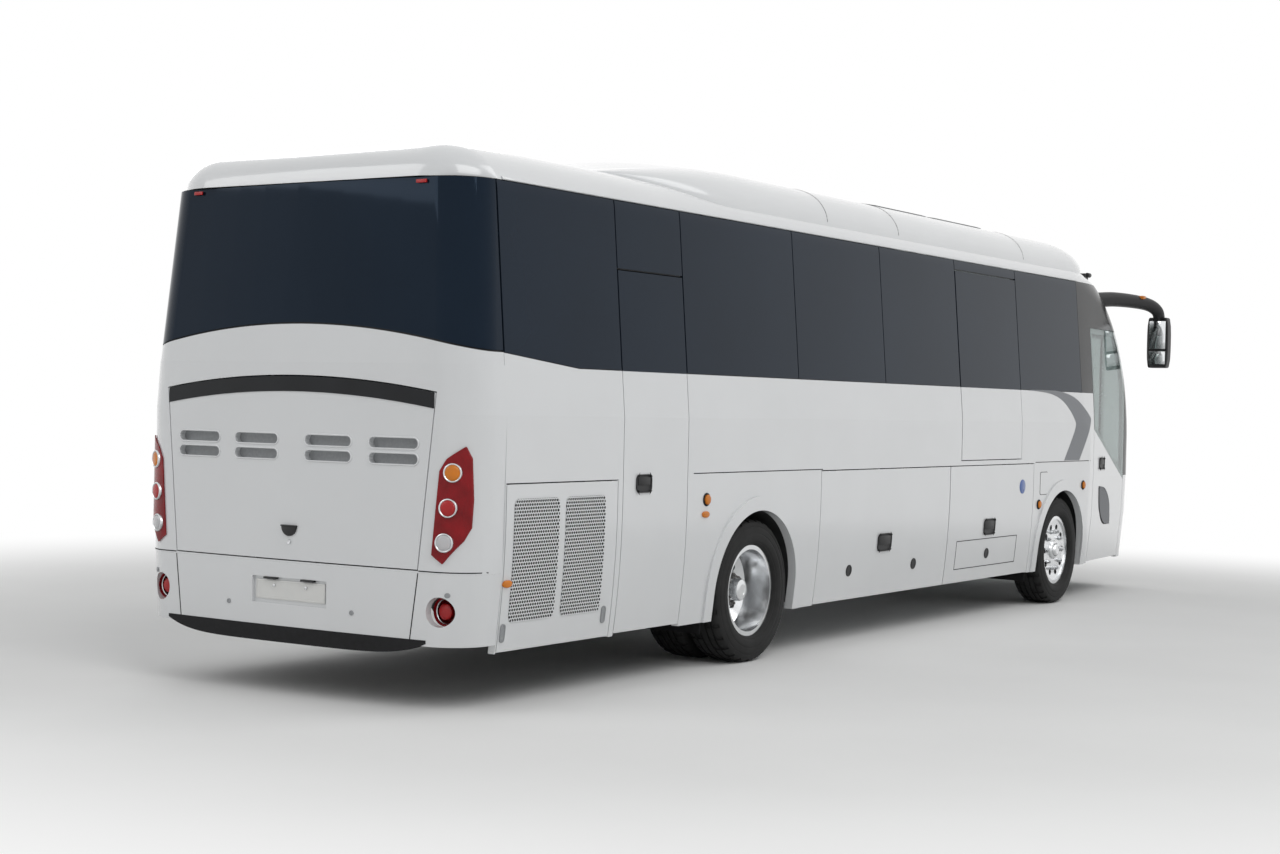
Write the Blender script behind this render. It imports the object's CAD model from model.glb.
"""Dresses the midi coach: finishes, tyres, soft seats, lamps, grilles, trim, floor, light and camera.

Everything is in metres in the coach's own frame: +X forward, +Y to its left, +Z up, the road at Z = 0.
"""

import logging
import math
from dataclasses import dataclass, field
from enum import Enum
from typing import Callable, Iterable, Sequence

import bpy
from mathutils import Matrix, Vector


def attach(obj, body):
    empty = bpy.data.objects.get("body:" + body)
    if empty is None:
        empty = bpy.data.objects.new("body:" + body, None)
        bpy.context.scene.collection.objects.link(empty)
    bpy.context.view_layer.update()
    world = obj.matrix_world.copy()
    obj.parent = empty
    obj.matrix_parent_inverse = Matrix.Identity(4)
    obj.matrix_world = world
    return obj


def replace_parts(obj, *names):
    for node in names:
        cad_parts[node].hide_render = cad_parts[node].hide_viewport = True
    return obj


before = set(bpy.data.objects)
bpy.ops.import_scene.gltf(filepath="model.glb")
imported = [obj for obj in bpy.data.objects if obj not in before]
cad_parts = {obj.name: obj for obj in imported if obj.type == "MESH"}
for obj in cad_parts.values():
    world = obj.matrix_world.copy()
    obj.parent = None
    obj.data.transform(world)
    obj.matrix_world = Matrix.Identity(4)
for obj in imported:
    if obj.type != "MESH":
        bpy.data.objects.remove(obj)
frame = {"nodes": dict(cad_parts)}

LOG = logging.getLogger("coach")
RIGHT = -1.0
LEFT = 1.0
HANDS = (LEFT, RIGHT)
WORDS = {LEFT: "left", RIGHT: "right"}
OUT = (0.0, 1.0, 0.0)
ZERO = (0.0, 0.0, 0.0)
Pair = tuple[float, float]
Triple = tuple[float, float, float]
Quad = tuple[float, float, float, float]
Box = tuple[Triple, Triple]
Color = Triple
Place = Sequence[float]
Piece = bpy.types.Object
Socket = bpy.types.NodeSocket


class Axis(Enum):
    """Direction of a round piece's axis."""

    X = (0.0, math.pi / 2, 0.0)
    Y = (math.pi / 2, 0.0, 0.0)
    Z = (0.0, 0.0, 0.0)


class Outline(Enum):
    """Half sections of turned pieces, as radius and outward place."""

    FRONT_CAP = (
        (0.0, 0.0862), (0.082, 0.0862), (0.082, 0.094), (0.076, 0.102), (0.058, 0.106), (0.055, 0.118),
        (0.050, 0.125), (0.036, 0.128), (0.033, 0.1255), (0.0, 0.1255),
    )
    REAR_CAP = (
        (0.0, -0.0492), (0.112, -0.0492), (0.112, -0.040), (0.106, -0.034), (0.078, -0.030), (0.074, 0.030),
        (0.068, 0.046), (0.056, 0.052), (0.034, 0.0525), (0.031, 0.050), (0.0, 0.050),
    )
    ROUND_LENS = (
        (0.0, -0.006), (0.043, -0.006), (0.043, 0.004), (0.039, 0.0085), (0.030, 0.0115), (0.016, 0.0132),
        (0.0, 0.0136),
    )
    ROUND_BEZEL = (
        (0.0425, -0.008), (0.0425, 0.006), (0.046, 0.0085), (0.0505, 0.007), (0.0535, 0.002),
        (0.0535, -0.008),
    )
    FOG_RIM = ((0.066, -0.012), (0.066, 0.002), (0.069, 0.005), (0.0735, 0.003), (0.0735, -0.012))
    SIDE_LENS = ((0.0, 0.0), (0.0315, 0.0), (0.0315, 0.013), (0.028, 0.0165), (0.018, 0.0195), (0.0, 0.0205))
    HEAD_BEZEL = (
        (0.086, -0.004), (0.086, 0.010), (0.092, 0.014), (0.100, 0.012), (0.106, 0.004), (0.106, -0.004),
    )
    HEAD_LENS = (
        (0.0, 0.0005), (0.085, 0.0005), (0.085, 0.007), (0.078, 0.012), (0.055, 0.0165), (0.026, 0.0185),
        (0.0, 0.019),
    )


class Coat(Enum):
    """Clear coat over a finish, as weight and roughness."""

    NONE = (0.0, 0.0)
    SATIN = (0.3, 0.25)
    GLOSS = (1.0, 0.03)


def add_node(tree: bpy.types.NodeTree, kind: str, feeds: dict, **settings: object) -> bpy.types.Node:
    """Adds a shader node.

    Args:
        tree: the nodes that it is added to.
        kind: its type, without the common start of the name.
        feeds: a socket or a constant for each input, by name or number.
        settings: its options.

    Returns:
        The node.
    """
    node = tree.nodes.new(f"ShaderNode{kind}")
    for name, value in settings.items():
        setattr(node, name, value)
    for name, value in feeds.items():
        if isinstance(value, Socket):
            tree.links.new(value, node.inputs[name])
        else:
            node.inputs[name].default_value = value
    return node


class MaterialBuilder:
    """Builds one node material around a Principled shader."""

    def __init__(self, name: str) -> None:
        """Starts an empty material.

        Args:
            name: name of the material.
        """
        self.material = bpy.data.materials.new(name)
        self.material.use_nodes = True
        self.tree = self.material.node_tree
        self.shader = self.tree.nodes["Principled BSDF"]
        self.coords = add_node(self.tree, "TexCoord", {}).outputs["Object"]

    def set(self, **values: object) -> None:
        """Sets shader sockets by name, with spaces written as underscores."""
        for name, value in values.items():
            self.shader.inputs[name.replace("_", " ")].default_value = value

    def noise(self, scale: float, detail: float = 4.0, stretch: Place = (1.0, 1.0, 1.0)) -> Socket:
        """Adds a noise texture.

        Args:
            scale: size of the pattern, larger is finer.
            detail: octaves of the noise.
            stretch: scale of the pattern along each axis.

        Returns:
            The noise's factor socket.
        """
        mapping = add_node(self.tree, "Mapping", {"Scale": stretch, "Vector": self.coords})
        feeds = {"Scale": scale, "Detail": detail, "Vector": mapping.outputs["Vector"]}
        texture = add_node(self.tree, "TexNoise", feeds)
        return texture.outputs["Fac"]

    def ramp(self, factor: Socket, stops: Sequence[tuple[float, Color]]) -> Socket:
        """Adds a colour ramp.

        Args:
            factor: socket that drives the ramp.
            stops: positions and colours.

        Returns:
            The ramp's colour socket.
        """
        node = add_node(self.tree, "ValToRGB", {"Fac": factor})
        elements = node.color_ramp.elements
        while len(elements) < len(stops):
            elements.new(0.5)
        for element, (position, color) in zip(elements, stops):
            element.position = position
            element.color = (*color, 1.0)
        return node.outputs["Color"]

    def math(
        self, operation: str, first: Socket | float, second: Socket | float | None = None,
        third: float | None = None, clamp: bool = False,
    ) -> Socket:
        """Adds a math node.

        Args:
            operation: name of the operation.
            first: socket or number.
            second: socket or number, if the operation has two.
            third: number, if the operation has three.
            clamp: keep the result from 0 to 1.

        Returns:
            The value socket.
        """
        feeds = {slot: value for slot, value in enumerate((first, second, third)) if value is not None}
        node = add_node(self.tree, "Math", feeds, operation=operation, use_clamp=clamp)
        return node.outputs["Value"]

    def axes(self) -> tuple[Socket, Socket, Socket]:
        """The X, Y and Z sockets of the object coordinates."""
        return tuple(add_node(self.tree, "SeparateXYZ", {"Vector": self.coords}).outputs)

    def waves(self, axis: Socket, count: float) -> Socket:
        """Height of waves along an axis, by their number for each metre."""
        return self.math("SINE", self.math("MULTIPLY", axis, count * math.tau))

    def mix(self, factor: Socket, first: Socket | Color, second: Color) -> Socket:
        """Mixes two colours.

        Args:
            factor: socket of the mix.
            first: colour or socket at 0.
            second: colour at 1.

        Returns:
            The colour socket.
        """
        node = add_node(self.tree, "Mix", {"Factor": factor}, data_type="RGBA")
        low, high = (slot for slot in node.inputs if slot.type == "RGBA")
        if isinstance(first, tuple):
            low.default_value = (*first, 1.0)
        else:
            self.tree.links.new(first, low)
        high.default_value = (*second, 1.0)
        return next(slot for slot in node.outputs if slot.type == "RGBA")

    def color(self, socket: Socket) -> None:
        """Drives the base colour."""
        self.tree.links.new(socket, self.shader.inputs["Base Color"])

    def roughness(self, factor: Socket, gain: float, base: float) -> None:
        """Drives the roughness by a factor: its base at 0 and, with the gain added, at 1."""
        self.tree.links.new(self.math("MULTIPLY_ADD", factor, gain, base), self.shader.inputs["Roughness"])

    def bump(self, height: Socket, strength: float, distance: float) -> None:
        """Adds bump to the shader.

        Args:
            height: socket of the height.
            strength: strength of the effect.
            distance: depth in metres.
        """
        node = add_node(self.tree, "Bump", {"Strength": strength, "Distance": distance, "Height": height})
        self.tree.links.new(node.outputs["Normal"], self.shader.inputs["Normal"])


@dataclass(frozen=True)
class Finish:
    """A surface with small variation in colour and gloss."""

    name: str  # name of the material
    color: Color  # base colour, linear
    rough: float  # mean roughness
    metallic: float = 0.0  # metal or not
    coat: Coat = Coat.NONE  # clear coat
    grain: float = 12.0  # scale of the variation
    mottle: float = 0.08  # share by which the colour varies
    relief: float = 0.0  # bump depth in metres
    shine: float = 0.5  # strength of its reflections
    sheen: Color = (1.0, 1.0, 1.0)  # tint of its reflections

    def build(self) -> bpy.types.Material:
        """Makes the material.

        Returns:
            The new material.
        """
        maker = MaterialBuilder(self.name)
        maker.set(Metallic=self.metallic, Coat_Weight=self.coat.value[0], Coat_Roughness=self.coat.value[1])
        maker.set(Specular_IOR_Level=self.shine, Specular_Tint=(*self.sheen, 1.0))
        self.pattern(maker)
        return maker.material

    def shade(self, share: float) -> Color:
        """The base colour made lighter or darker by a share."""
        return tuple(min(1.0, max(0.0, c * (1.0 + share))) for c in self.color)

    def mottled(self, maker: MaterialBuilder, detail: float = 4.0) -> tuple[Socket, Socket]:
        """Sockets of a noise and of the base colour made darker and lighter by it."""
        factor = maker.noise(self.grain, detail)
        return factor, maker.ramp(factor, [(0.3, self.shade(-self.mottle)), (0.7, self.shade(self.mottle))])

    def pattern(self, maker: MaterialBuilder) -> None:
        """Adds the finish's own pattern.

        Args:
            maker: builder of the material.
        """
        factor, color = self.mottled(maker)
        maker.color(color)
        maker.roughness(factor, 0.16, self.rough - 0.08)
        if self.relief:
            maker.bump(maker.noise(self.grain * 6), 0.5, self.relief)


@dataclass(frozen=True)
class Paint(Finish):
    """Body paint that greys with road film towards the skirt."""

    film: Color = (0.46, 0.45, 0.43)  # colour of the road film
    film_top: float = 0.75  # height at which the film ends
    film_share: float = 0.2  # share of the film's colour at the road

    def pattern(self, maker: MaterialBuilder) -> None:
        """Adds soft mottling, orange peel and road film."""
        paint = self.mottled(maker, 5.0)[1]
        height = maker.axes()[2]
        low = maker.math("SUBTRACT", 1.0, maker.math("DIVIDE", height, self.film_top), clamp=True)
        streaks = maker.noise(5.0, 8.0, (1.0, 1.0, 0.25))
        film = maker.math("MULTIPLY", maker.math("MULTIPLY", low, streaks), self.film_share, clamp=True)
        maker.color(maker.mix(film, paint, self.film))
        maker.roughness(film, 0.5, self.rough)
        maker.bump(maker.noise(240.0, 2.0), 0.06, 0.0004)


@dataclass(frozen=True)
class Glass(Finish):
    """Tinted glass that shows a little of what is behind it."""

    clear: float = 0.3  # share of light let through
    ior: float = 1.45  # index of refraction

    def pattern(self, maker: MaterialBuilder) -> None:
        """Adds a faint film to tinted glass."""
        maker.set(Transmission_Weight=self.clear, IOR=self.ior)
        factor, color = self.mottled(maker)
        maker.color(color)
        maker.roughness(factor, 0.04, self.rough)


@dataclass(frozen=True)
class Lens(Finish):
    """Moulded lamp lens with fine flutes."""

    flutes: float = 160.0  # flutes for each metre
    clear: float = 0.2  # share of light let through
    ior: float = 1.5  # index of refraction

    def pattern(self, maker: MaterialBuilder) -> None:
        """Adds crossing flutes under a glossy skin."""
        maker.set(Transmission_Weight=self.clear, IOR=self.ior)
        factor, color = self.mottled(maker)
        maker.color(color)
        maker.roughness(factor, 0.06, self.rough)
        waves = [maker.waves(axis, self.flutes) for axis in maker.axes()[1:]]
        maker.bump(maker.math("ADD", *waves), 0.25, 0.0008)


@dataclass(frozen=True)
class Mesh(Finish):
    """Perforated sheet: a grid of round holes that shows dark."""

    pitch: float = 0.012  # distance between the holes in metres
    hole: float = 0.36  # share of the pitch that a hole takes
    dark: Color = (0.01, 0.01, 0.011)  # colour in the holes
    hole_rough: float = 0.8  # roughness in the holes
    row: float = 0.866  # height of a row as a share of the pitch

    def pattern(self, maker: MaterialBuilder) -> None:
        """Adds staggered rows of holes over the X and Z coordinates."""
        along, _, height = maker.axes()
        rows = maker.math("DIVIDE", height, self.pitch * self.row)
        shift = maker.math("MULTIPLY", maker.math("MODULO", maker.math("FLOOR", rows), 2.0), 0.5)
        columns = maker.math("ADD", maker.math("DIVIDE", along, self.pitch), shift)
        offsets = [maker.math("SUBTRACT", maker.math("FRACT", cell), 0.5) for cell in (columns, rows)]
        squares = [maker.math("POWER", o, 2.0) for o in offsets]
        distance = maker.math("SQRT", maker.math("ADD", *squares))
        solid = maker.math("GREATER_THAN", distance, self.hole)
        maker.color(maker.mix(solid, self.dark, self.color))
        maker.roughness(solid, self.rough - self.hole_rough, self.hole_rough)
        maker.bump(solid, 0.6, 0.002)


@dataclass(frozen=True)
class Weave(Finish):
    """Woven seat cloth with crossing threads."""

    threads: float = 420.0  # threads for each metre
    fleck: Color = (0.2, 0.25, 0.42)  # colour of the flecks

    def pattern(self, maker: MaterialBuilder) -> None:
        """Adds threads and flecks."""
        maker.set(Sheen_Weight=0.4, Sheen_Roughness=0.5)
        flecks = maker.noise(90.0, 2.0)
        maker.color(maker.ramp(flecks, [(0.45, self.color), (0.62, self.fleck)]))
        maker.roughness(flecks, 0.1, self.rough)
        waves = [maker.waves(axis, self.threads) for axis in maker.axes()]
        maker.bump(maker.math("ADD", maker.math("ADD", waves[0], waves[1]), waves[2]), 0.3, 0.0006)


class Look(Enum):
    """The finishes of the coach."""

    PAINT = Paint("white_coachwork", (0.70, 0.712, 0.722), 0.22, coat=Coat.GLOSS, grain=1.6, mottle=0.015)
    STRIPE = Finish("grey_stripe", (0.21, 0.22, 0.235), 0.35, grain=3.0, mottle=0.04, shine=0.2)
    BAND = Finish("black_band", (0.012, 0.013, 0.015), 0.35, grain=4.0, mottle=0.15, shine=0.2)
    FRAME = Finish("black_frame", (0.010, 0.011, 0.012), 0.20, grain=6.0, mottle=0.2, shine=0.25)
    GLASS = Glass(
        "tinted_glass", (0.008, 0.014, 0.024), 0.02,
        grain=0.9, mottle=0.15, sheen=(0.45, 0.64, 0.92), clear=0.12, ior=1.28,
    )
    SCREEN = Glass("windscreen_glass", (0.46, 0.52, 0.51), 0.01, grain=0.9, mottle=0.08, clear=0.95, ior=1.33)
    MIRROR = Finish("mirror_glass", (0.82, 0.84, 0.85), 0.09, metallic=1.0, grain=5.0, mottle=0.03)
    CHASSIS = Finish("chassis_black", (0.025, 0.025, 0.026), 0.6, grain=9.0, mottle=0.35, relief=0.0006)
    CAST = Finish("cast_iron", (0.09, 0.085, 0.08), 0.55, metallic=0.7, grain=22.0, mottle=0.3, relief=0.0008)
    FLOOR = Finish("flecked_floor", (0.16, 0.17, 0.18), 0.62, grain=180.0, mottle=0.4, relief=0.0003)
    BAY = Finish("bay_sheet", (0.38, 0.39, 0.40), 0.45, metallic=0.8, grain=30.0, mottle=0.12, relief=0.0004)
    RUBBER = Finish(
        "black_rubber", (0.012, 0.012, 0.013), 0.7, grain=30.0, mottle=0.25, relief=0.0005, shine=0.2,
    )
    TYRE = Finish(
        "tyre_rubber", (0.018, 0.018, 0.018), 0.72, grain=7.0, mottle=0.35, relief=0.0006, shine=0.25,
    )
    RIM = Finish("polished_alloy", (0.74, 0.75, 0.76), 0.22, metallic=1.0, grain=14.0, mottle=0.06)
    STEEL = Finish("bright_steel", (0.62, 0.63, 0.64), 0.26, metallic=1.0, grain=20.0, mottle=0.1)
    DARK_STEEL = Finish("dark_fastener", (0.16, 0.155, 0.15), 0.42, metallic=0.9, grain=26.0, mottle=0.25)
    PLASTIC = Finish(
        "moulded_plastic", (0.016, 0.016, 0.017), 0.42, grain=60.0, mottle=0.15, relief=0.0004, shine=0.35,
    )
    GREY_PLASTIC = Finish("grey_plastic", (0.30, 0.31, 0.32), 0.5, grain=60.0, mottle=0.08, relief=0.0004)
    DASH = Finish("dash_moulding", (0.09, 0.092, 0.096), 0.55, grain=160.0, mottle=0.15, relief=0.0005)
    PLATE = Finish("blank_plate", (0.72, 0.72, 0.70), 0.32, coat=Coat.SATIN, grain=8.0, mottle=0.03)
    BLUE = Finish("blue_disc", (0.03, 0.10, 0.36), 0.3, coat=Coat.SATIN, grain=20.0, mottle=0.08)
    RED = Lens("dark_red_lens", (0.26, 0.006, 0.010), 0.10, grain=10.0, mottle=0.2, shine=0.2, clear=0.05)
    BRIGHT_RED = Lens("red_lens", (0.50, 0.012, 0.014), 0.08, grain=10.0, mottle=0.12, shine=0.35, clear=0.1)
    AMBER = Lens("amber_lens", (0.74, 0.22, 0.010), 0.08, grain=10.0, mottle=0.12, shine=0.35, clear=0.1)
    CLEAR = Lens("clear_lens", (0.78, 0.80, 0.82), 0.06, coat=Coat.GLOSS, grain=10.0, mottle=0.06, clear=0.35)
    GRILLE = Mesh("perforated_sheet", (0.70, 0.71, 0.72), 0.42, pitch=0.022, hole=0.38)
    VENT = Mesh("roof_vent_sheet", (0.30, 0.31, 0.32), 0.5, pitch=0.03, hole=0.4)
    CLOTH = Weave("seat_cloth", (0.028, 0.036, 0.085), 0.78)


class Wardrobe:
    """Builds each finish once."""

    def __init__(self) -> None:
        """Starts with no materials."""
        self.made: dict[Look, bpy.types.Material] = {}

    def get(self, look: Look) -> bpy.types.Material:
        """The material of a finish."""
        if look not in self.made:
            self.made[look] = look.value.build()
        return self.made[look]


WARDROBE = Wardrobe()


@dataclass(frozen=True)
class Skin:
    """The coach's outer surface, for pieces that lie on it."""

    half: float = 1.25  # half width at the waist
    tuck_z: float = 1.1  # height below which the sides tuck in
    tuck_r: float = 5.9  # radius of that tuck
    lean_z: float = 1.6  # height above which the sides lean in
    lean: float = 0.107 / 1.28  # lean of the sides, across for each metre up
    tail: float = -5.41  # station of the rear face
    corner_y: float = 1.01  # half width of the rear face between its corners
    corner_r: float = 0.24  # radius of the rear corners
    flat_y: float = 0.1515  # half width of the flat middle of the rear face
    bulge_r: float = 18.0  # radius of the rear face beside it
    sill: float = 1.87  # height above which the rear leans
    tail_lean: float = 0.06 / 1.01  # that lean, forward for each metre up
    hub_x: float = 3.54  # station of the axis about which the nose is turned
    hub_z: float = 1.42  # height of that axis
    roof: float = 3.17  # height of the roof's flat middle
    edge_y: float = 0.7692  # half width of that middle
    edge_r: float = 0.38  # radius of the roof's edges
    cant: float = 2.88  # height of the roof's lower edge
    crown: float = 0.724  # share of the solid roof's rise that is seen, as the photograph has a flatter crown
    tail_hub: float = -5.06  # station about which the rear end of the roof is rounded

    def side(self, z: float) -> float:
        """Half width of the coach at a height."""
        if z < self.tuck_z:
            return self.half - self.tuck_r + math.sqrt(self.tuck_r**2 - (self.tuck_z - z) ** 2)
        rise = z - self.roof + self.edge_r
        if rise > self.edge_r * math.sin(math.atan(self.lean)):
            return self.edge_y + math.sqrt(max(0.0, self.edge_r**2 - rise**2))
        return self.half - max(0.0, z - self.lean_z) * self.lean

    def width(self, x: float, z: float) -> float:
        """Half width of the coach at a station and a height, on the round nose too."""
        ahead = x - self.hub_x
        if ahead <= 0.0:
            return self.side(z)
        if z < self.hub_z:
            return self.side(self.hub_z + ahead) + self.side(z) - self.half
        return self.side(self.hub_z + math.hypot(ahead, z - self.hub_z))

    def crest(self, y: float) -> float:
        """Height of the roof at a place across."""
        over = max(0.0, abs(y) - self.edge_y)
        return self.roof - self.edge_r + math.sqrt(max(0.0, self.edge_r**2 - over**2))

    def front(self, y: float, z: float) -> float:
        """Station of the front face at a place across and a height."""
        across = abs(y) + self.half - self.side(min(z, self.tuck_z))
        reach = self.crest(across) - self.hub_z
        rise = max(0.0, z - self.hub_z)
        return self.hub_x + math.sqrt(max(0.0, reach**2 - rise**2))

    def top(self, x: float, y: float) -> float:
        """Height of the roof or the turned nose at a station and a place across."""
        ahead = max(0.0, x - self.hub_x)
        reach = self.crest(y) - self.hub_z
        return self.hub_z + math.sqrt(max(0.0, reach**2 - ahead**2))

    def seen_top(self, x: float, y: float) -> float:
        """Height of the flatter roof that is seen, at a station and a place across."""
        return self.cant + self.crown * (self.top(x, y) - self.cant)

    def rear(self, y: float, z: float) -> float:
        """Station of the rear face at a place across and a height."""
        across = abs(y) + self.half - self.side(min(z, self.sill))
        depth = max(0.0, min(across, self.corner_y) ** 2 - self.flat_y**2) / (2 * self.bulge_r)
        if across > self.corner_y:
            over = min(across - self.corner_y, self.corner_r)
            depth += self.corner_r - math.sqrt(self.corner_r**2 - over**2)
        return self.tail + depth + max(0.0, z - self.sill) * self.tail_lean


SKIN = Skin()


class Bench:
    """Models pieces by operators; each piece ends at the origin with its place in its mesh."""

    @staticmethod
    def clear() -> None:
        """Deselects everything."""
        bpy.ops.object.select_all(action="DESELECT")

    @classmethod
    def settle(cls, name: str) -> Piece:
        """Applies the active object's place and names it.

        Args:
            name: name of the piece.

        Returns:
            The piece.
        """
        bpy.ops.object.transform_apply(location=True, rotation=True, scale=True)
        piece = bpy.context.object
        piece.name = piece.data.name = name
        return piece

    @classmethod
    def take(cls, piece: Piece) -> None:
        """Selects one piece and makes it active."""
        cls.clear()
        piece.select_set(True)
        bpy.context.view_layer.objects.active = piece

    @classmethod
    def edit(cls, piece: Piece) -> None:
        """Opens a piece for editing with all of it selected."""
        cls.take(piece)
        bpy.ops.object.mode_set(mode="EDIT")
        bpy.ops.mesh.select_all(action="SELECT")

    @staticmethod
    def done() -> None:
        """Leaves edit mode."""
        bpy.ops.object.mode_set(mode="OBJECT")

    @classmethod
    def select(cls, piece: Piece, kind: str, items: Iterable, chosen: Callable[..., bool]) -> None:
        """Opens a piece for editing with some of its faces or edges selected.

        Args:
            piece: the piece.
            kind: FACE or EDGE.
            items: its faces or edges.
            chosen: says of each whether it is selected.
        """
        cls.edit(piece)
        bpy.ops.mesh.select_mode(type=kind)
        bpy.ops.mesh.select_all(action="DESELECT")
        cls.done()
        for item in items:
            item.select = chosen(item)
        bpy.ops.object.mode_set(mode="EDIT")

    @classmethod
    def press(
        cls, piece: Piece, *steps: Pair, way: Place = OUT, share: float = 0.9
    ) -> Piece:
        """Insets the faces of a piece that face one way.

        Args:
            piece: the piece.
            steps: thickness and depth of each inset.
            way: unit direction.
            share: least cosine to that direction.

        Returns:
            The piece.
        """
        direction = Vector(way)
        cls.select(piece, "FACE", piece.data.polygons, lambda face: face.normal.dot(direction) > share)
        for thickness, depth in steps:
            bpy.ops.mesh.inset(thickness=thickness, depth=depth)
        cls.done()
        return piece

    @classmethod
    def soften(cls, piece: Piece, width: float, segments: int = 2, angle: float = 40.0) -> None:
        """Rounds the sharp edges of a piece.

        Args:
            piece: the piece.
            width: width of the rounding.
            segments: steps of the rounding.
            angle: least angle of an edge that is rounded, in degrees.
        """
        cls.take(piece)
        rounding = piece.modifiers.new("rounding", "BEVEL")
        rounding.width = width
        rounding.segments = segments
        rounding.limit_method = "ANGLE"
        rounding.angle_limit = math.radians(angle)
        bpy.ops.object.modifier_apply(modifier=rounding.name)

    @classmethod
    def block(
        cls, name: str, low: Place, high: Place, bevel: float = 0.0, cuts: int = 0
    ) -> Piece:
        """A block with rounded edges.

        Args:
            name: name of the piece.
            low: lowest corner.
            high: highest corner.
            bevel: width of its rounding.
            cuts: cuts along each edge, so that it can follow the skin.

        Returns:
            The piece.
        """
        cls.clear()
        size = [b - a for a, b in zip(low, high)]
        middle = [(a + b) / 2 for a, b in zip(low, high)]
        bpy.ops.mesh.primitive_cube_add(size=1.0, location=middle, scale=size)
        piece = cls.settle(name)
        if bevel:
            cls.soften(piece, bevel)
        if cuts:
            cls.edit(piece)
            bpy.ops.mesh.subdivide(number_cuts=cuts)
            cls.done()
        return piece

    @classmethod
    def drum(
        cls, name: str, middle: Place, radius: float, depth: float,
        axis: Axis, bevel: float, sides: int,
    ) -> Piece:
        """A drum with rounded rims.

        Args:
            name: name of the piece.
            middle: its middle.
            radius: its radius.
            depth: its length along the axis.
            axis: its axis.
            bevel: width of its rounding.
            sides: facets round it.

        Returns:
            The piece.
        """
        cls.clear()
        bpy.ops.mesh.primitive_cylinder_add(
            vertices=sides, radius=radius, depth=depth, location=middle, rotation=axis.value
        )
        piece = cls.settle(name)
        if bevel:
            cls.soften(piece, bevel)
        return piece

    @classmethod
    def hoop(cls, name: str, middle: Place, radius: float, tube: float, axis: Axis) -> Piece:
        """A round ring of round stock.

        Args:
            name: name of the piece.
            middle: its middle.
            radius: radius of its centre line.
            tube: radius of the stock.
            axis: its axis.

        Returns:
            The piece.
        """
        cls.clear()
        bpy.ops.mesh.primitive_torus_add(
            location=middle, rotation=axis.value, major_radius=radius, minor_radius=tube,
            major_segments=40, minor_segments=10,
        )
        return cls.settle(name)

    @classmethod
    def sheet(cls, name: str, columns: int, rows: int, low: float, high: float) -> Piece:
        """A thin closed sheet over the unit square, as (along, out, up), to be shaped by its maker.

        Args:
            name: name of the piece.
            columns: cells along.
            rows: cells up.
            low: place of its back.
            high: place of its face.

        Returns:
            The piece.
        """
        cls.clear()
        bpy.ops.mesh.primitive_grid_add(
            x_subdivisions=columns, y_subdivisions=rows, size=1.0, location=(0.5, 0.5, 0.0)
        )
        piece = cls.settle(name)
        for vertex in piece.data.vertices:
            vertex.co = (vertex.co.x, low, vertex.co.y)
        cls.edit(piece)
        bpy.ops.mesh.extrude_region_move(TRANSFORM_OT_translate={"value": (0.0, high - low, 0.0)})
        cls.done()
        cls.outward(piece)
        return piece

    @classmethod
    def lathe(cls, name: str, profile: Sequence[Place], steps: int, closed: bool = True) -> Piece:
        """A profile spun about the Y axis.

        Args:
            name: name of the piece.
            profile: points as radius and outward place.
            steps: facets round it.
            closed: whether the profile is a closed loop.

        Returns:
            The piece, about the origin.
        """
        cls.clear()
        bpy.ops.mesh.primitive_circle_add(vertices=len(profile), radius=1.0)
        piece = cls.settle(name)
        for vertex, (radius, out) in zip(piece.data.vertices, profile):
            vertex.co = (radius, out, 0.0)
        if not closed:
            gap = {0, len(profile) - 1}
            cls.select(piece, "EDGE", piece.data.edges, lambda edge: set(edge.vertices) == gap)
            bpy.ops.mesh.delete(type="EDGE_FACE")
            cls.done()
        cls.edit(piece)
        bpy.ops.mesh.spin(steps=steps, angle=math.tau, center=ZERO, axis=OUT, use_auto_merge=True)
        bpy.ops.mesh.select_all(action="SELECT")
        bpy.ops.mesh.remove_doubles(threshold=0.00005)
        bpy.ops.mesh.normals_make_consistent(inside=False)
        cls.done()
        return piece

    @classmethod
    def copy(cls, piece: Piece, move: Place = ZERO, turn: float = 0.0, axis: str = "Y") -> Piece:
        """A copy with its own mesh, turned about an axis through the origin and then moved.

        Args:
            piece: the piece that is copied.
            move: where it is moved.
            turn: angle in degrees.
            axis: axis of the turn.

        Returns:
            The copy.
        """
        twin = piece.copy()
        twin.data = piece.data.copy()
        bpy.context.collection.objects.link(twin)
        twin.data.transform(Matrix.Translation(Vector(move)) @ Matrix.Rotation(math.radians(turn), 4, axis))
        return twin

    @classmethod
    def mirrored(cls, piece: Piece) -> Piece:
        """A mirrored copy on the other side of the coach."""
        twin = cls.copy(piece)
        twin.data.transform(Matrix.Diagonal((1.0, -1.0, 1.0, 1.0)))
        twin.data.flip_normals()
        return twin

    @classmethod
    def drop(cls, *pieces: Piece) -> None:
        """Removes pieces that were only patterns for copies."""
        for piece in pieces:
            bpy.data.objects.remove(piece)

    @classmethod
    def join(cls, name: str, pieces: Iterable[Piece]) -> Piece:
        """Joins pieces into one.

        Args:
            name: name of the joined piece.
            pieces: the pieces.

        Returns:
            The joined piece.
        """
        group = list(pieces)
        cls.take(group[0])
        for piece in group:
            piece.select_set(True)
        if len(group) > 1:
            bpy.ops.object.join()
        joined = bpy.context.object
        joined.name = joined.data.name = name
        return joined

    @classmethod
    def outward(cls, piece: Piece) -> None:
        """Turns every face of a closed piece outwards."""
        cls.edit(piece)
        bpy.ops.mesh.normals_make_consistent(inside=False)
        cls.done()

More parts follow.
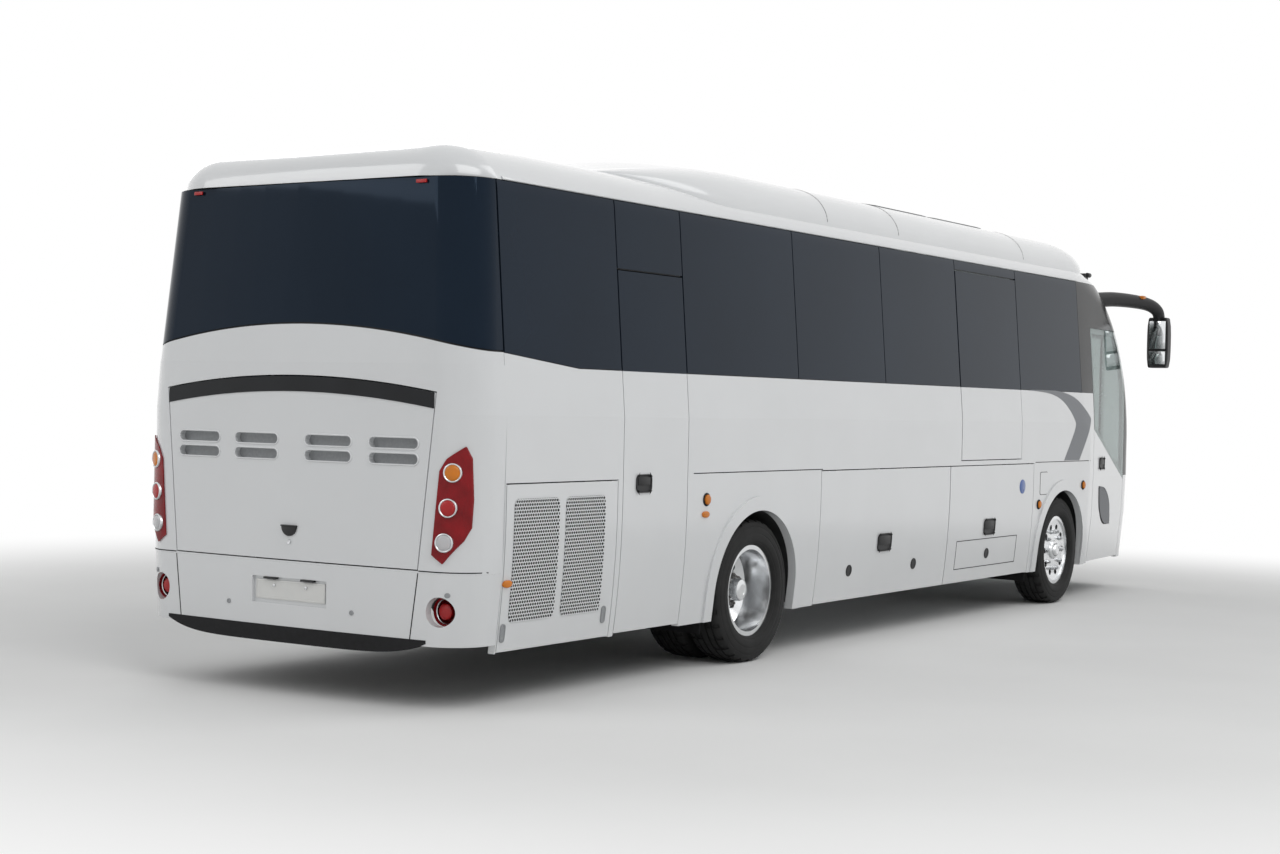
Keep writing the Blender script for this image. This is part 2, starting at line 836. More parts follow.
    @classmethod
    def shape(cls, piece: Piece, rule: Callable[[float, float, float], Place]) -> Piece:
        """Moves each point of a closed piece by a rule.

        Args:
            piece: the piece.
            rule: gives a point's new place from its three coordinates.

        Returns:
            The piece.
        """
        for vertex in piece.data.vertices:
            vertex.co = rule(*vertex.co)
        cls.outward(piece)
        return piece

    @classmethod
    def on_side(cls, piece: Piece, hand: float) -> Piece:
        """Lays a piece, modelled as (along, out, up), on the LEFT or the RIGHT side of the coach."""
        return cls.shape(piece, lambda along, out, up: (along, hand * (SKIN.width(along, up) + out), up))

    @classmethod
    def on_rear(cls, piece: Piece) -> Piece:
        """Lays a piece, modelled as (across, out, up), on the rear face."""
        return cls.shape(piece, lambda across, out, up: (SKIN.rear(across, up) - out, across, up))

    @classmethod
    def on_nose(cls, piece: Piece) -> Piece:
        """Lays a piece, modelled as (across, out, up), on the front face."""
        return cls.shape(piece, lambda across, out, up: (SKIN.front(across, up) + out, across, up))

    @classmethod
    def fit(cls, piece: Piece, body: str, look: Look, slot: str, smooth: float = 35.0) -> Piece:
        """Dresses a finished piece and hangs it on its body.

        Args:
            piece: the piece.
            body: body that it moves with.
            look: its finish.
            slot: material slot of the record.
            smooth: largest angle that is shaded smooth, in degrees.

        Returns:
            The piece.
        """
        cls.take(piece)
        bpy.ops.object.shade_smooth_by_angle(angle=math.radians(smooth))
        piece.data.materials.clear()
        piece.data.materials.append(WARDROBE.get(look))
        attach(piece, body)
        LOG.info("%s on %s: %d faces", piece.name, body, len(piece.data.polygons))
        return piece

    @classmethod
    def group(cls, name: str, pieces: Iterable[Piece], body: str, look: Look, slot: str) -> Piece:
        """Joins pieces, dresses them and hangs them on their body."""
        return cls.fit(cls.join(name, pieces), body, look, slot)



@dataclass
class Wheels:
    """Tyres with grooved treads, wheel nuts and hub caps."""

    axles: Pair = (-2.31, 3.09)  # stations of the rear and front axle
    plane: float = 1.077  # distance of the outer wheel planes from the middle
    twin: float = 0.311  # distance between the planes of twin tyres
    height: float = 0.47  # height of the axles
    steps: int = 90  # facets round a tyre
    nuts: int = 10  # nuts of one wheel
    ring: float = 0.1675  # radius of the circle of nuts
    front_face: float = 0.086  # outward place of the front disc's face
    rear_face: float = -0.1395  # outward place of the rear disc's face
    # Radius, outward place and number of the nuts round the rear hub
    hub: tuple[float, float, int] = (0.092, -0.040, 8)
    # Least and most outward place, and least radius, of the tread's shoulder blocks
    shoulder: Triple = (0.079, 0.122, 0.45)
    rib: Triple = (0.032, 0.064, 0.465)  # the same of the blocks between the long grooves
    groove: float = 0.008  # depth of the cross grooves
    # Half of the tyre's outline, as radius and outward place
    tread: Sequence[Pair] = (
        (0.4700, 0.018), (0.4580, 0.020), (0.4580, 0.030), (0.4700, 0.032), (0.4695, 0.064),
        (0.4570, 0.066), (0.4570, 0.077), (0.4685, 0.079), (0.4670, 0.094), (0.4620, 0.112),
        (0.4520, 0.122), (0.4400, 0.1275), (0.4250, 0.1310), (0.4215, 0.1295), (0.4180, 0.1322),
        (0.4000, 0.1355), (0.3800, 0.1375), (0.3770, 0.1358), (0.3740, 0.1378), (0.3550, 0.1375),
        (0.3350, 0.1350), (0.3220, 0.1300), (0.3190, 0.1268), (0.3150, 0.1272), (0.3060, 0.1190),
        (0.3012, 0.1080), (0.2998, 0.0925), (0.2868, 0.0920),
    )

    def grooved(self, face: bpy.types.MeshPolygon) -> bool:
        """Whether a face of the tyre is sunk into a cross groove."""
        x, out, z = face.center
        radius = math.hypot(x, z)
        sector = int(math.degrees(math.atan2(z, x)) % 360.0 / 360.0 * self.steps)
        zones = (self.shoulder, self.rib)
        shoulder, rib = (low < abs(out) < high and radius > least for low, high, least in zones)
        return (shoulder and sector % 3 == 0) or (rib and sector % 6 == (0 if out > 0 else 3))

    def tyre(self) -> Piece:
        """One tyre about the origin, with cross grooves in its tread.

        Returns:
            The tyre.
        """
        profile = [(r, -out) for r, out in reversed(self.tread)] + list(self.tread)
        piece = Bench.lathe("tyre", profile, self.steps)
        Bench.select(piece, "FACE", piece.data.polygons, self.grooved)
        bpy.ops.mesh.extrude_region_shrink_fatten(TRANSFORM_OT_shrink_fatten={"value": -self.groove})
        Bench.done()
        return piece

    def nut(self) -> Piece:
        """One wheel nut with its washer and stud, facing outwards at the origin.

        Returns:
            The nut.
        """
        washer = Bench.drum("nut_washer", (0.0, 0.003, 0.0), 0.0225, 0.006, Axis.Y, 0.0015, 20)
        hexagon = Bench.drum("nut_hexagon", (0.0, 0.016, 0.0), 0.0185, 0.022, Axis.Y, 0.002, 6)
        stud = Bench.drum("nut_stud", (0.0, 0.024, 0.0), 0.0095, 0.024, Axis.Y, 0.002, 14)
        return Bench.join("nut", (washer, hexagon, stud))

    def circle(self, name: str, pattern: Piece, radius: float, out: float, count: int) -> Piece:
        """Copies of a pattern in a circle about the Y axis.

        Args:
            name: name of the joined copies.
            pattern: what is copied.
            radius: radius of the circle.
            out: outward place.
            count: number of copies.

        Returns:
            The joined copies.
        """
        copies = []
        for number in range(count):
            turn = 360.0 * number / count
            angle = math.radians(turn)
            place = (radius * math.cos(angle), out, -radius * math.sin(angle))
            copies.append(Bench.copy(pattern, place, turn))
        return Bench.join(name, copies)

    def build(self) -> None:
        """Builds the tyres, nuts and caps of all wheels."""
        tyre, nut = self.tyre(), self.nut()
        front_cap = Bench.lathe("front_cap", Outline.FRONT_CAP.value, 48, closed=False)
        rear_cap = Bench.lathe("rear_cap", Outline.REAR_CAP.value, 48, closed=False)
        front_nuts = self.circle("front_nuts", nut, self.ring, self.front_face, self.nuts)
        rear_nuts = self.circle("rear_nuts", nut, self.ring, self.rear_face, self.nuts)
        hub_nuts = self.circle("hub_nuts", nut, *self.hub)
        rear_set = Bench.join("rear_fasteners", (rear_nuts, hub_nuts))
        for hand, word in WORDS.items():
            turn = 0.0 if hand == LEFT else 180.0
            front = (self.axles[1], hand * self.plane, self.height)
            rear = (self.axles[0], hand * self.plane, self.height)
            inner = (self.axles[0], hand * (self.plane - self.twin), self.height)
            single = Bench.copy(tyre, front)
            single.name = f"tread_tyre_front_{word}"
            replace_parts(Bench.fit(single, f"wheel_front_{word}", Look.TYRE, "tyre"), f"tyre_front_{word}")
            pair = Bench.join(f"tread_tyres_rear_{word}", (Bench.copy(tyre, rear), Bench.copy(tyre, inner)))
            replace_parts(Bench.fit(pair, f"wheels_rear_{word}", Look.TYRE, "tyre"), f"tyres_rear_{word}")
            for pattern, place, body, look in (
                (front_nuts, front, f"wheel_front_{word}", Look.STEEL),
                (rear_set, rear, f"wheels_rear_{word}", Look.DARK_STEEL),
                (front_cap, front, f"wheel_front_{word}", Look.RIM),
                (rear_cap, rear, f"wheels_rear_{word}", Look.RIM),
            ):
                twin = Bench.copy(pattern, place, turn, "Z")
                twin.name = f"{pattern.name}_{word}"
                Bench.fit(twin, body, look, "rim")
        Bench.drop(tyre, nut, front_nuts, rear_set, front_cap, rear_cap)


@dataclass
class RearFace:
    """Lamps, louvres, handle, plate and marks of the rear."""

    slots: Place = (-0.73, -0.27, 0.27, 0.73)  # places across of the louvre slots
    slot_heights: Place = (1.355, 1.44)  # heights of the slots
    slot_reach: float = 0.1375  # half length of a slot's straight part
    slot_radius: float = 0.03  # radius of a slot's ends
    band_top: float = 1.793  # height of the black band at the middle
    band_radius: float = 6.44  # radius of its arch
    band_depth: float = 0.085  # its depth
    band_reach: float = 0.997  # half its length
    # Place across, height, turn and finish of the round lamps
    lamps: Sequence[tuple[float, float, float, Look]] = (
        (1.118, 1.292, 22.0, Look.AMBER),
        (1.098, 1.104, 18.0, Look.BRIGHT_RED),
        (1.08, 0.919, 16.0, Look.CLEAR),
    )
    lamp_sink: float = 0.0105  # depth of the lamps' seats in the lamp panels
    fog: Triple = (1.047, 0.547, 0.104)  # place across, height and depth of the fog lamps
    sensors: Sequence[Pair] = ((0.463, 0.503), (1.094, 0.639))  # places of the parking sensors
    seam: Pair = (0.86, 0.911)  # place across of the bumper's seam at its foot and at its top
    seam_z: Pair = (0.362, 0.748)  # heights of these ends
    corner: Triple = (0.915, 1.235, 0.760)  # ends across and height of the seam round the corner
    cup: Triple = (0.0, 0.004, 0.955)  # middle of the lid's half-round handle
    cup_r: float = 0.056  # its radius
    lip: Box = ((-0.058, 0.0, 0.953), (0.058, 0.016, 0.961))  # corners of the handle's lip
    lock: Triple = (0.0, 0.003, 0.868)  # middle of the lid's lock
    lock_r: float = 0.013  # its radius
    blank: Box = ((-0.26, -0.0175, 0.535), (0.26, -0.012, 0.645))  # corners of the blank plate
    plate_lamp: float = 0.14  # place across of the plate's lamps
    lamp_box: Box = ((-0.05, -0.016, 0.650), (0.05, 0.006, 0.6615))  # corners of one of them
    screw: float = 0.12  # place across of the plate's screws
    reflector: float = 0.839  # place across of the reflectors over the window
    tab: Box = ((-0.035, 0.0, 2.842), (0.035, 0.009, 2.862))  # corners of one of them
    unit: Box = ((-0.14, -0.16, 2.70), (0.14, -0.07, 2.81))  # corners of the unit behind the window

    def two(self, pattern: Piece, across: float) -> list[Piece]:
        """Two copies of a pattern, at a place across on the right and on the left."""
        copies = [Bench.copy(pattern, (hand * across, 0.0, 0.0)) for hand in (RIGHT, LEFT)]
        Bench.drop(pattern)
        return copies

    def louvres(self) -> None:
        """Rims and pale trays of the slots in the lid."""
        rim = Bench.hoop("slot_rim", (0.0, 0.001, 0.0), self.slot_radius + 0.002, 0.005, Axis.Y)
        for vertex in rim.data.vertices:
            vertex.co.x += math.copysign(self.slot_reach, vertex.co.x)
        reach, tall = self.slot_reach + 0.04, self.slot_radius + 0.006
        tray = Bench.block("slot_tray", (-reach, -0.060, -tall), (reach, -0.032, tall), 0.004)
        Bench.press(tray, (0.006, -0.006))
        places = [(y, 0.0, z) for y in self.slots for z in self.slot_heights]
        rims = [Bench.on_rear(Bench.copy(rim, place)) for place in places]
        trays = [Bench.on_rear(Bench.copy(tray, place)) for place in places]
        Bench.drop(rim, tray)
        Bench.group("louvre_rims", rims, "engine_lid", Look.PAINT, "body_paint")
        Bench.group("louvre_trays", trays, "engine_lid", Look.GREY_PLASTIC, "body_paint")

    def band(self) -> None:
        """Black arched band along the top of the lid."""
        sheet = Bench.sheet("lid_band", 60, 2, 0.0006, 0.004)
        for vertex in sheet.data.vertices:
            across = (2.0 * vertex.co.x - 1.0) * self.band_reach
            top = self.band_top - self.band_radius + math.sqrt(self.band_radius**2 - across**2)
            vertex.co = (across, vertex.co.y, top - self.band_depth * (1.0 - vertex.co.z))
        Bench.fit(Bench.on_rear(sheet), "engine_lid", Look.BAND, "black_frame")

    def lid_handle(self) -> None:
        """Half-round handle with its lock below."""
        cup = Bench.drum("lid_cup", self.cup, self.cup_r, 0.012, Axis.Y, 0.002, 48)
        Bench.edit(cup)
        bpy.ops.mesh.bisect(plane_co=self.cup, plane_no=(0.0, 0.0, 1.0), use_fill=True, clear_outer=True)
        Bench.done()
        lip = Bench.block("lid_lip", *self.lip, 0.003)
        handle = Bench.on_rear(Bench.join("lid_handle", (cup, lip)))
        Bench.fit(handle, "engine_lid", Look.PLASTIC, "black_frame")
        barrel = Bench.drum("lid_lock", self.lock, self.lock_r, 0.010, Axis.Y, 0.002, 24)
        Bench.press(barrel, (0.004, -0.003))
        Bench.fit(Bench.on_rear(barrel), "engine_lid", Look.STEEL, "rim")

    def round_lamps(self) -> None:
        """Round lamps with bright bezels on the lamp panels, and lenses and rims of the fog lamps."""
        lens = Bench.lathe("round_lens", Outline.ROUND_LENS.value, 40, closed=False)
        bezel = Bench.lathe("round_bezel", Outline.ROUND_BEZEL.value, 48)
        bezels = []
        for y, z, turn, look in self.lamps:
            lenses = []
            for hand in HANDS:
                place = (SKIN.rear(y, z) - self.lamp_sink, hand * y, z)
                lenses.append(Bench.copy(lens, place, 90.0 - hand * turn, "Z"))
                bezels.append(Bench.copy(bezel, place, 90.0 - hand * turn, "Z"))
            Bench.group(f"{look.value.name}_rounds", lenses, "body", look, "lamp_red")
        Bench.group("lamp_bezels", bezels, "body", Look.STEEL, "rim")
        rim = Bench.lathe("fog_rim", Outline.FOG_RIM.value, 48)
        y, z, deep = self.fog
        x = SKIN.tail + deep
        lenses = [Bench.copy(lens, (x - 0.006, hand * y, z), 90.0, "Z") for hand in HANDS]
        rims = [Bench.copy(rim, (x + 0.006, hand * y, z), 90.0, "Z") for hand in HANDS]
        Bench.group("fog_lenses", lenses, "body", Look.BRIGHT_RED, "lamp_red")
        Bench.group("fog_rims", rims, "body", Look.STEEL, "rim")
        Bench.drop(lens, bezel, rim)

    def plate(self) -> None:
        """Blank plate with its frame, screws and lamps."""
        blank = Bench.press(Bench.block("rear_plate", *self.blank, 0.0015), (0.008, -0.0012))
        Bench.fit(Bench.on_rear(blank), "body", Look.PLATE, "body_paint")
        hoods = self.two(Bench.block("plate_lamp", *self.lamp_box, 0.003), self.plate_lamp)
        Bench.fit(Bench.on_rear(Bench.join("plate_lamps", hoods)), "body", Look.PLASTIC, "black_frame")
        pattern = Bench.drum("plate_screw", (0.0, -0.011, 0.615), 0.009, 0.004, Axis.Y, 0.001, 16)
        screws = self.two(pattern, self.screw)
        Bench.fit(Bench.on_rear(Bench.join("plate_screws", screws)), "body", Look.STEEL, "rim")

    def marks(self) -> None:
        """Sensors, seams, reflectors and the unit behind the window."""
        eye = Bench.drum("sensor", (0.0, 0.001, 0.0), 0.0135, 0.008, Axis.Y, 0.0015, 24)
        Bench.press(eye, (0.003, -0.001))
        places = [(hand * y, 0.0, z) for y, z in self.sensors for hand in HANDS]
        rounds = [Bench.on_rear(Bench.copy(eye, place)) for place in places]
        Bench.drop(eye)
        Bench.group("parking_sensors", rounds, "body", Look.GREY_PLASTIC, "black_frame")
        seams = []
        (foot, top), (low, high) = self.seam, self.seam_z
        inner, outer, z = self.corner
        for hand in HANDS:
            seam = Bench.block("bumper_seam", (-0.003, -0.002, low), (0.003, 0.0008, high), 0.0, 12)
            for vertex in seam.data.vertices:
                vertex.co.x += hand * (foot + (top - foot) * (vertex.co.z - low) / (high - low))
            seams.append(Bench.on_rear(seam))
            left, right = sorted((hand * inner, hand * outer))
            edge = Bench.block("bumper_seam", (left, -0.002, z - 0.003), (right, 0.0009, z + 0.003), 0.0, 20)
            seams.append(Bench.on_rear(edge))
        Bench.group("bumper_seams", seams, "body", Look.RUBBER, "rubber")
        tabs = self.two(Bench.block("top_reflector", *self.tab, 0.003), self.reflector)
        Bench.fit(Bench.on_rear(Bench.join("top_reflectors", tabs)), "body", Look.BRIGHT_RED, "lamp_red")
        unit = Bench.block("window_unit", *self.unit, 0.012)
        Bench.fit(Bench.on_rear(unit), "body", Look.PLASTIC, "black_frame")

    def build(self) -> None:
        """Builds all pieces of the rear."""
        self.louvres()
        self.band()
        self.lid_handle()
        self.round_lamps()
        self.plate()
        self.marks()


def smooth_point(points: Sequence[Place], share: float) -> tuple[float, ...]:
    """A place on a smooth line through points.

    Args:
        points: the points of the line.
        share: share of the line, from 0 to 1.

    Returns:
        The place.
    """
    spans = len(points) - 1
    step = min(int(share * spans), spans - 1)
    t = share * spans - step
    near = [points[min(max(step + k, 0), spans)] for k in (-1, 0, 1, 2)]
    weights = (
        (-(t**3) + 2 * t**2 - t) / 2,
        (3 * t**3 - 5 * t**2 + 2) / 2,
        (-3 * t**3 + 4 * t**2 + t) / 2,
        (t**3 - t**2) / 2,
    )
    return tuple(sum(w * p[axis] for w, p in zip(weights, near)) for axis in range(len(points[0])))


def between(first: Place, last: Place, share: float) -> tuple[float, ...]:
    """The place at a share of the way from one place to another."""
    return tuple(a + share * (b - a) for a, b in zip(first, last))


@dataclass
class Sides:
    """Vent sheets, latches, handles, caps, lamps and the stripe of the sides."""

    # Stations of the vent sheets on the service doors
    vents: Sequence[Pair] = ((-4.99, -4.574), (-4.509, -4.12))
    vent_heights: Pair = (0.475, 1.148)  # their lowest and highest edge
    latches: Sequence[Pair] = ((-5.03, 0.42), (-4.07, 0.45))  # places of the service doors' latches
    # Places of the round caps, with the flap they are on
    caps: Sequence[tuple[float, float, str]] = (
        (-0.974, 0.525, "rear"), (0.092, 0.516, "rear"), (1.47, 0.525, "front"),
    )
    # Places of the flap handles, with the flap they are on
    handles: Sequence[tuple[float, float, str]] = ((-0.443, 0.704, "rear"), (1.478, 0.742, "front"))
    cassette: Quad = (0.858, 2.082, 0.421, 0.65)  # stations and heights of the lift cassette's panel
    fuel: Quad = (2.536, 2.697, 0.978, 1.167)  # stations and heights of the fuel flap
    disc: Pair = (2.141, 1.055)  # place of the blank blue disc
    lamps: Sequence[Pair] = ((-2.991, 1.09), (3.56, 1.037), (2.519, 0.892))  # places of the side lamps
    oval: Pair = (-3.002, 0.997)  # place of the small lamp under the rear one
    door_oval: Pair = (-5.03, 0.69)  # place of the small lamp on the service door
    # Outer edge of the stripe
    outer: Sequence[Pair] = (
        (2.30, 1.874), (2.698, 1.878), (3.002, 1.873), (3.287, 1.837), (3.476, 1.782),
        (3.700, 1.671), (3.745, 1.613), (3.620, 1.444), (3.450, 1.264),
    )
    # Inner edge of the stripe
    inner: Sequence[Pair] = (
        (2.30, 1.870), (2.649, 1.858), (2.878, 1.835), (3.061, 1.790), (3.219, 1.712),
        (3.327, 1.624), (3.345, 1.560), (3.237, 1.427), (3.079, 1.264),
    )
    belt_z: float = 1.256  # height of the seam along the panels
    # First and last station of each length of that seam
    belts: Sequence[Pair] = ((-3.15, -1.45), (2.42, 3.74))
    seam: float = 0.006  # width of a seam
    # The right and the left service door
    doors: tuple[str, str] = ("service_door_right", "service_door_left")
    shell: tuple[str, str] = ("body", "body")  # the body, for both sides

    def panel(self, name: str, box: Place, low: float, high: float, round_r: float) -> Piece:
        """A thin panel with round corners that can follow the skin.

        Args:
            name: name of the piece.
            box: first and last station, lowest and highest edge.
            low: place of its back.
            high: place of its face.
            round_r: radius of its corners.

        Returns:
            The panel, as (along, out, up).
        """
        piece = Bench.sheet(name, 16, 16, low, high)
        x0, x1, z0, z1 = box
        for vertex in piece.data.vertices:
            x, z = x0 + vertex.co.x * (x1 - x0), z0 + vertex.co.z * (z1 - z0)
            near_x, near_z = min(max(x, x0 + round_r), x1 - round_r), min(max(z, z0 + round_r), z1 - round_r)
            reach = math.hypot(x - near_x, z - near_z)
            pull = round_r / reach if reach > round_r else 1.0
            vertex.co = (near_x + (x - near_x) * pull, vertex.co.y, near_z + (z - near_z) * pull)
        return piece

    def strip(self, name: str, box: Place, cuts: int) -> Piece:
        """A dark seam that just covers the skin in a box of stations and heights, as (along, out, up)."""
        x0, x1, z0, z1 = box
        return Bench.block(name, (x0, -0.002, z0), (x1, 0.0009, z1), 0.0, cuts)

    def both(self, name: str, pieces: Sequence[Piece], bodies: Sequence[str], look: Look, slot: str) -> None:
        """Joins pieces and lays them on both sides.

        Args:
            name: name of the joined piece.
            pieces: the pieces, as (along, out, up).
            bodies: the right and the left body.
            look: their finish.
            slot: their slot.
        """
        pattern = Bench.join(name, pieces)
        for hand, body in zip((RIGHT, LEFT), bodies):
            twin = Bench.on_side(Bench.copy(pattern), hand)
            twin.name = f"{name}_{WORDS[hand]}"
            Bench.fit(twin, body, look, slot)
        Bench.drop(pattern)

    def vent_sheets(self) -> None:
        """Perforated sheets with pressed borders, and latches, on the service doors."""
        sheets = []
        for x0, x1 in self.vents:
            piece = self.panel("vent_sheet", (x0, x1, *self.vent_heights), 0.0006, 0.005, 0.03)
            sheets.append(Bench.press(piece, (0.010, 0.0), (0.004, -0.003)))
        self.both("vent_sheets", sheets, self.doors, Look.GRILLE, "body_paint")
        latch = Bench.drum("latch", (0.0, 0.003, 0.0), 0.021, 0.010, Axis.Y, 0.002, 32)
        for vertex in latch.data.vertices:
            vertex.co.z += math.copysign(0.030, vertex.co.z)
        Bench.press(latch, (0.006, -0.0025))
        copies = [Bench.copy(latch, (x, 0.0, z)) for x, z in self.latches]
        Bench.drop(latch)
        self.both("service_latches", copies, self.doors, Look.GREY_PLASTIC, "black_frame")

    def handle(self, half: float, tall: float) -> Piece:
        """A pull handle: a rimmed plate with a paddle, facing outwards at the origin.

        Args:
            half: half its length.
            tall: half its height.

        Returns:
            The handle.
        """
        plate = self.panel("handle_plate", (-half, half, -tall, tall), -0.001, 0.010, 0.6 * tall)
        Bench.press(plate, (0.006, 0.0), (0.003, -0.007))
        low, high = (-half + 0.016, 0.002, -tall + 0.045), (half - 0.016, 0.0085, tall - 0.014)
        paddle = Bench.block("handle_paddle", low, high, 0.003)
        return Bench.join("handle", (plate, paddle))

    def flaps(self) -> None:
        """Handles, caps and the cassette panel of the luggage flaps."""
        cap = Bench.drum("flap_cap", (0.0, 0.002, 0.0), 0.042, 0.007, Axis.Y, 0.002, 28)
        Bench.press(cap, (0.008, -0.002))
        pull = self.handle(0.110, 0.066)
        for end in ("rear", "front"):
            pieces = [Bench.copy(cap, (x, 0.0, z)) for x, z, word in self.caps if word == end]
            pieces += [Bench.copy(pull, (x, 0.0, z)) for x, z, word in self.handles if word == end]
            bodies = (f"flap_right_{end}", f"flap_left_{end}")
            self.both(f"flap_{end}_fittings", pieces, bodies, Look.PLASTIC, "black_frame")
        Bench.drop(cap, pull)
        x0, x1, z0, z1 = self.cassette
        sides = (
            (x0, x0 + self.seam, z0, z1),
            (x1 - self.seam, x1, z0, z1),
            (x0, x1, z0, z0 + self.seam),
            (x0, x1, z1 - self.seam, z1),
        )
        strips = [self.strip("cassette_seam", box, 10) for box in sides]
        seams = Bench.on_side(Bench.join("cassette_seams", strips), RIGHT)
        Bench.fit(seams, "flap_right_front", Look.RUBBER, "rubber")

    def marks(self) -> None:
        """Fuel flap, blue disc and amber lamps."""
        x0, x1, z0, z1 = self.fuel
        gap = 0.005
        seam = self.panel("fuel_seam", (x0 - gap, x1 + gap, z0 - gap, z1 + gap), -0.001, 0.0006, 0.02)
        Bench.fit(Bench.on_side(seam, RIGHT), "body", Look.RUBBER, "rubber")
        lid = self.panel("fuel_lid", self.fuel, -0.001, 0.0028, 0.018)
        Bench.fit(Bench.on_side(lid, RIGHT), "body", Look.PAINT, "body_paint")
        disc = Bench.drum("blue_disc", (self.disc[0], 0.0012, self.disc[1]), 0.06, 0.0035, Axis.Y, 0.001, 48)
        Bench.fit(Bench.on_side(disc, RIGHT), "body", Look.BLUE, "body_paint")
        ring = Bench.hoop("lamp_ring", (0.0, 0.0, 0.0), 0.036, 0.0065, Axis.Y)
        lens = Bench.lathe("lamp_lens", Outline.SIDE_LENS.value, 32, closed=False)
        rings, lenses = [], []
        for x, z in self.lamps:
            place = (x, SKIN.width(x, z + 0.03) - SKIN.width(x, z) + 0.001, z)
            rings.append(Bench.copy(ring, place))
            lenses.append(Bench.copy(lens, place))
        for name, (x, z), bodies in (
            ("side_oval", self.oval, self.shell),
            ("door_oval", self.door_oval, self.doors),
        ):
            small = Bench.copy(lens)
            small.data.transform(Matrix.Translation((x, 0.0, z)) @ Matrix.Diagonal((1.3, 0.7, 0.66, 1.0)))
            self.both(name, [small], bodies, Look.AMBER, "lamp_amber")
        Bench.drop(ring, lens)
        self.both("side_lamp_rings", rings, self.shell, Look.RUBBER, "rubber")
        self.both("side_lamp_lenses", lenses, self.shell, Look.AMBER, "lamp_amber")

    def stripe(self) -> None:
        """Plain grey swoosh under the windows, and the seams along the panels."""
        piece = Bench.sheet("swoosh", 60, 6, 0.0004, 0.0012)
        for vertex in piece.data.vertices:
            share, out, part = vertex.co
            x, z = between(smooth_point(self.inner, share), smooth_point(self.outer, share), part)
            vertex.co = (x, out, z)
        self.both("swoosh", [piece], self.shell, Look.STRIPE, "body_paint")
        low, high = self.belt_z - self.seam / 2, self.belt_z + self.seam / 2
        seams = [self.strip("belt_seam", (*ends, low, high), 12) for ends in self.belts]
        self.both("belt_seams", seams, self.shell, Look.RUBBER, "rubber")

    def build(self) -> None:
        """Builds all pieces of the sides."""
        self.vent_sheets()
        self.flaps()
        self.marks()
        self.stripe()


@dataclass
class Doors(Sides):
    """Handles and the low window of the passenger doors."""

    rear_pull: Pair = (-3.718, 1.206)  # place of the rear door's handle
    front_pull: Pair = (4.115, 1.224)  # place of the front door's handle
    # Lower and upper edge of the leaf-shaped low window
    leaf: Sequence[Sequence[Pair]] = (
        ((4.05, 1.01), (4.09, 0.80), (4.25, 0.665), (4.48, 0.65)),
        ((4.05, 1.015), (4.26, 0.985), (4.42, 0.86), (4.482, 0.655)),
    )

    def build(self) -> None:
        """Builds the handles and the low window."""
        pull = self.handle(0.082, 0.055)
        for place, body in ((self.rear_pull, "rear_door"), (self.front_pull, "front_door")):
            piece = Bench.on_side(Bench.copy(pull, (place[0], 0.0, place[1])), RIGHT)
            piece.name = f"{body}_handle"
            Bench.fit(piece, body, Look.PLASTIC, "black_frame")
        Bench.drop(pull)
        for name, low, high, edge, look, slot in (
            ("low_window_rubber", -0.002, 0.0016, 0.0, Look.RUBBER, "rubber"),
            ("low_window", 0.0, 0.0032, 0.09, Look.GLASS, "tinted_glass"),
        ):
            sheet = Bench.sheet(name, 24, 10, low, high)
            for vertex in sheet.data.vertices:
                along, out, up = vertex.co
                share, part = (edge / 2 + place * (1.0 - edge) for place in (along, up))
                x, z = between(*(smooth_point(line, share) for line in self.leaf), part)
                vertex.co = (x, out, z)
            Bench.fit(Bench.on_side(sheet, RIGHT), "front_door", look, slot)


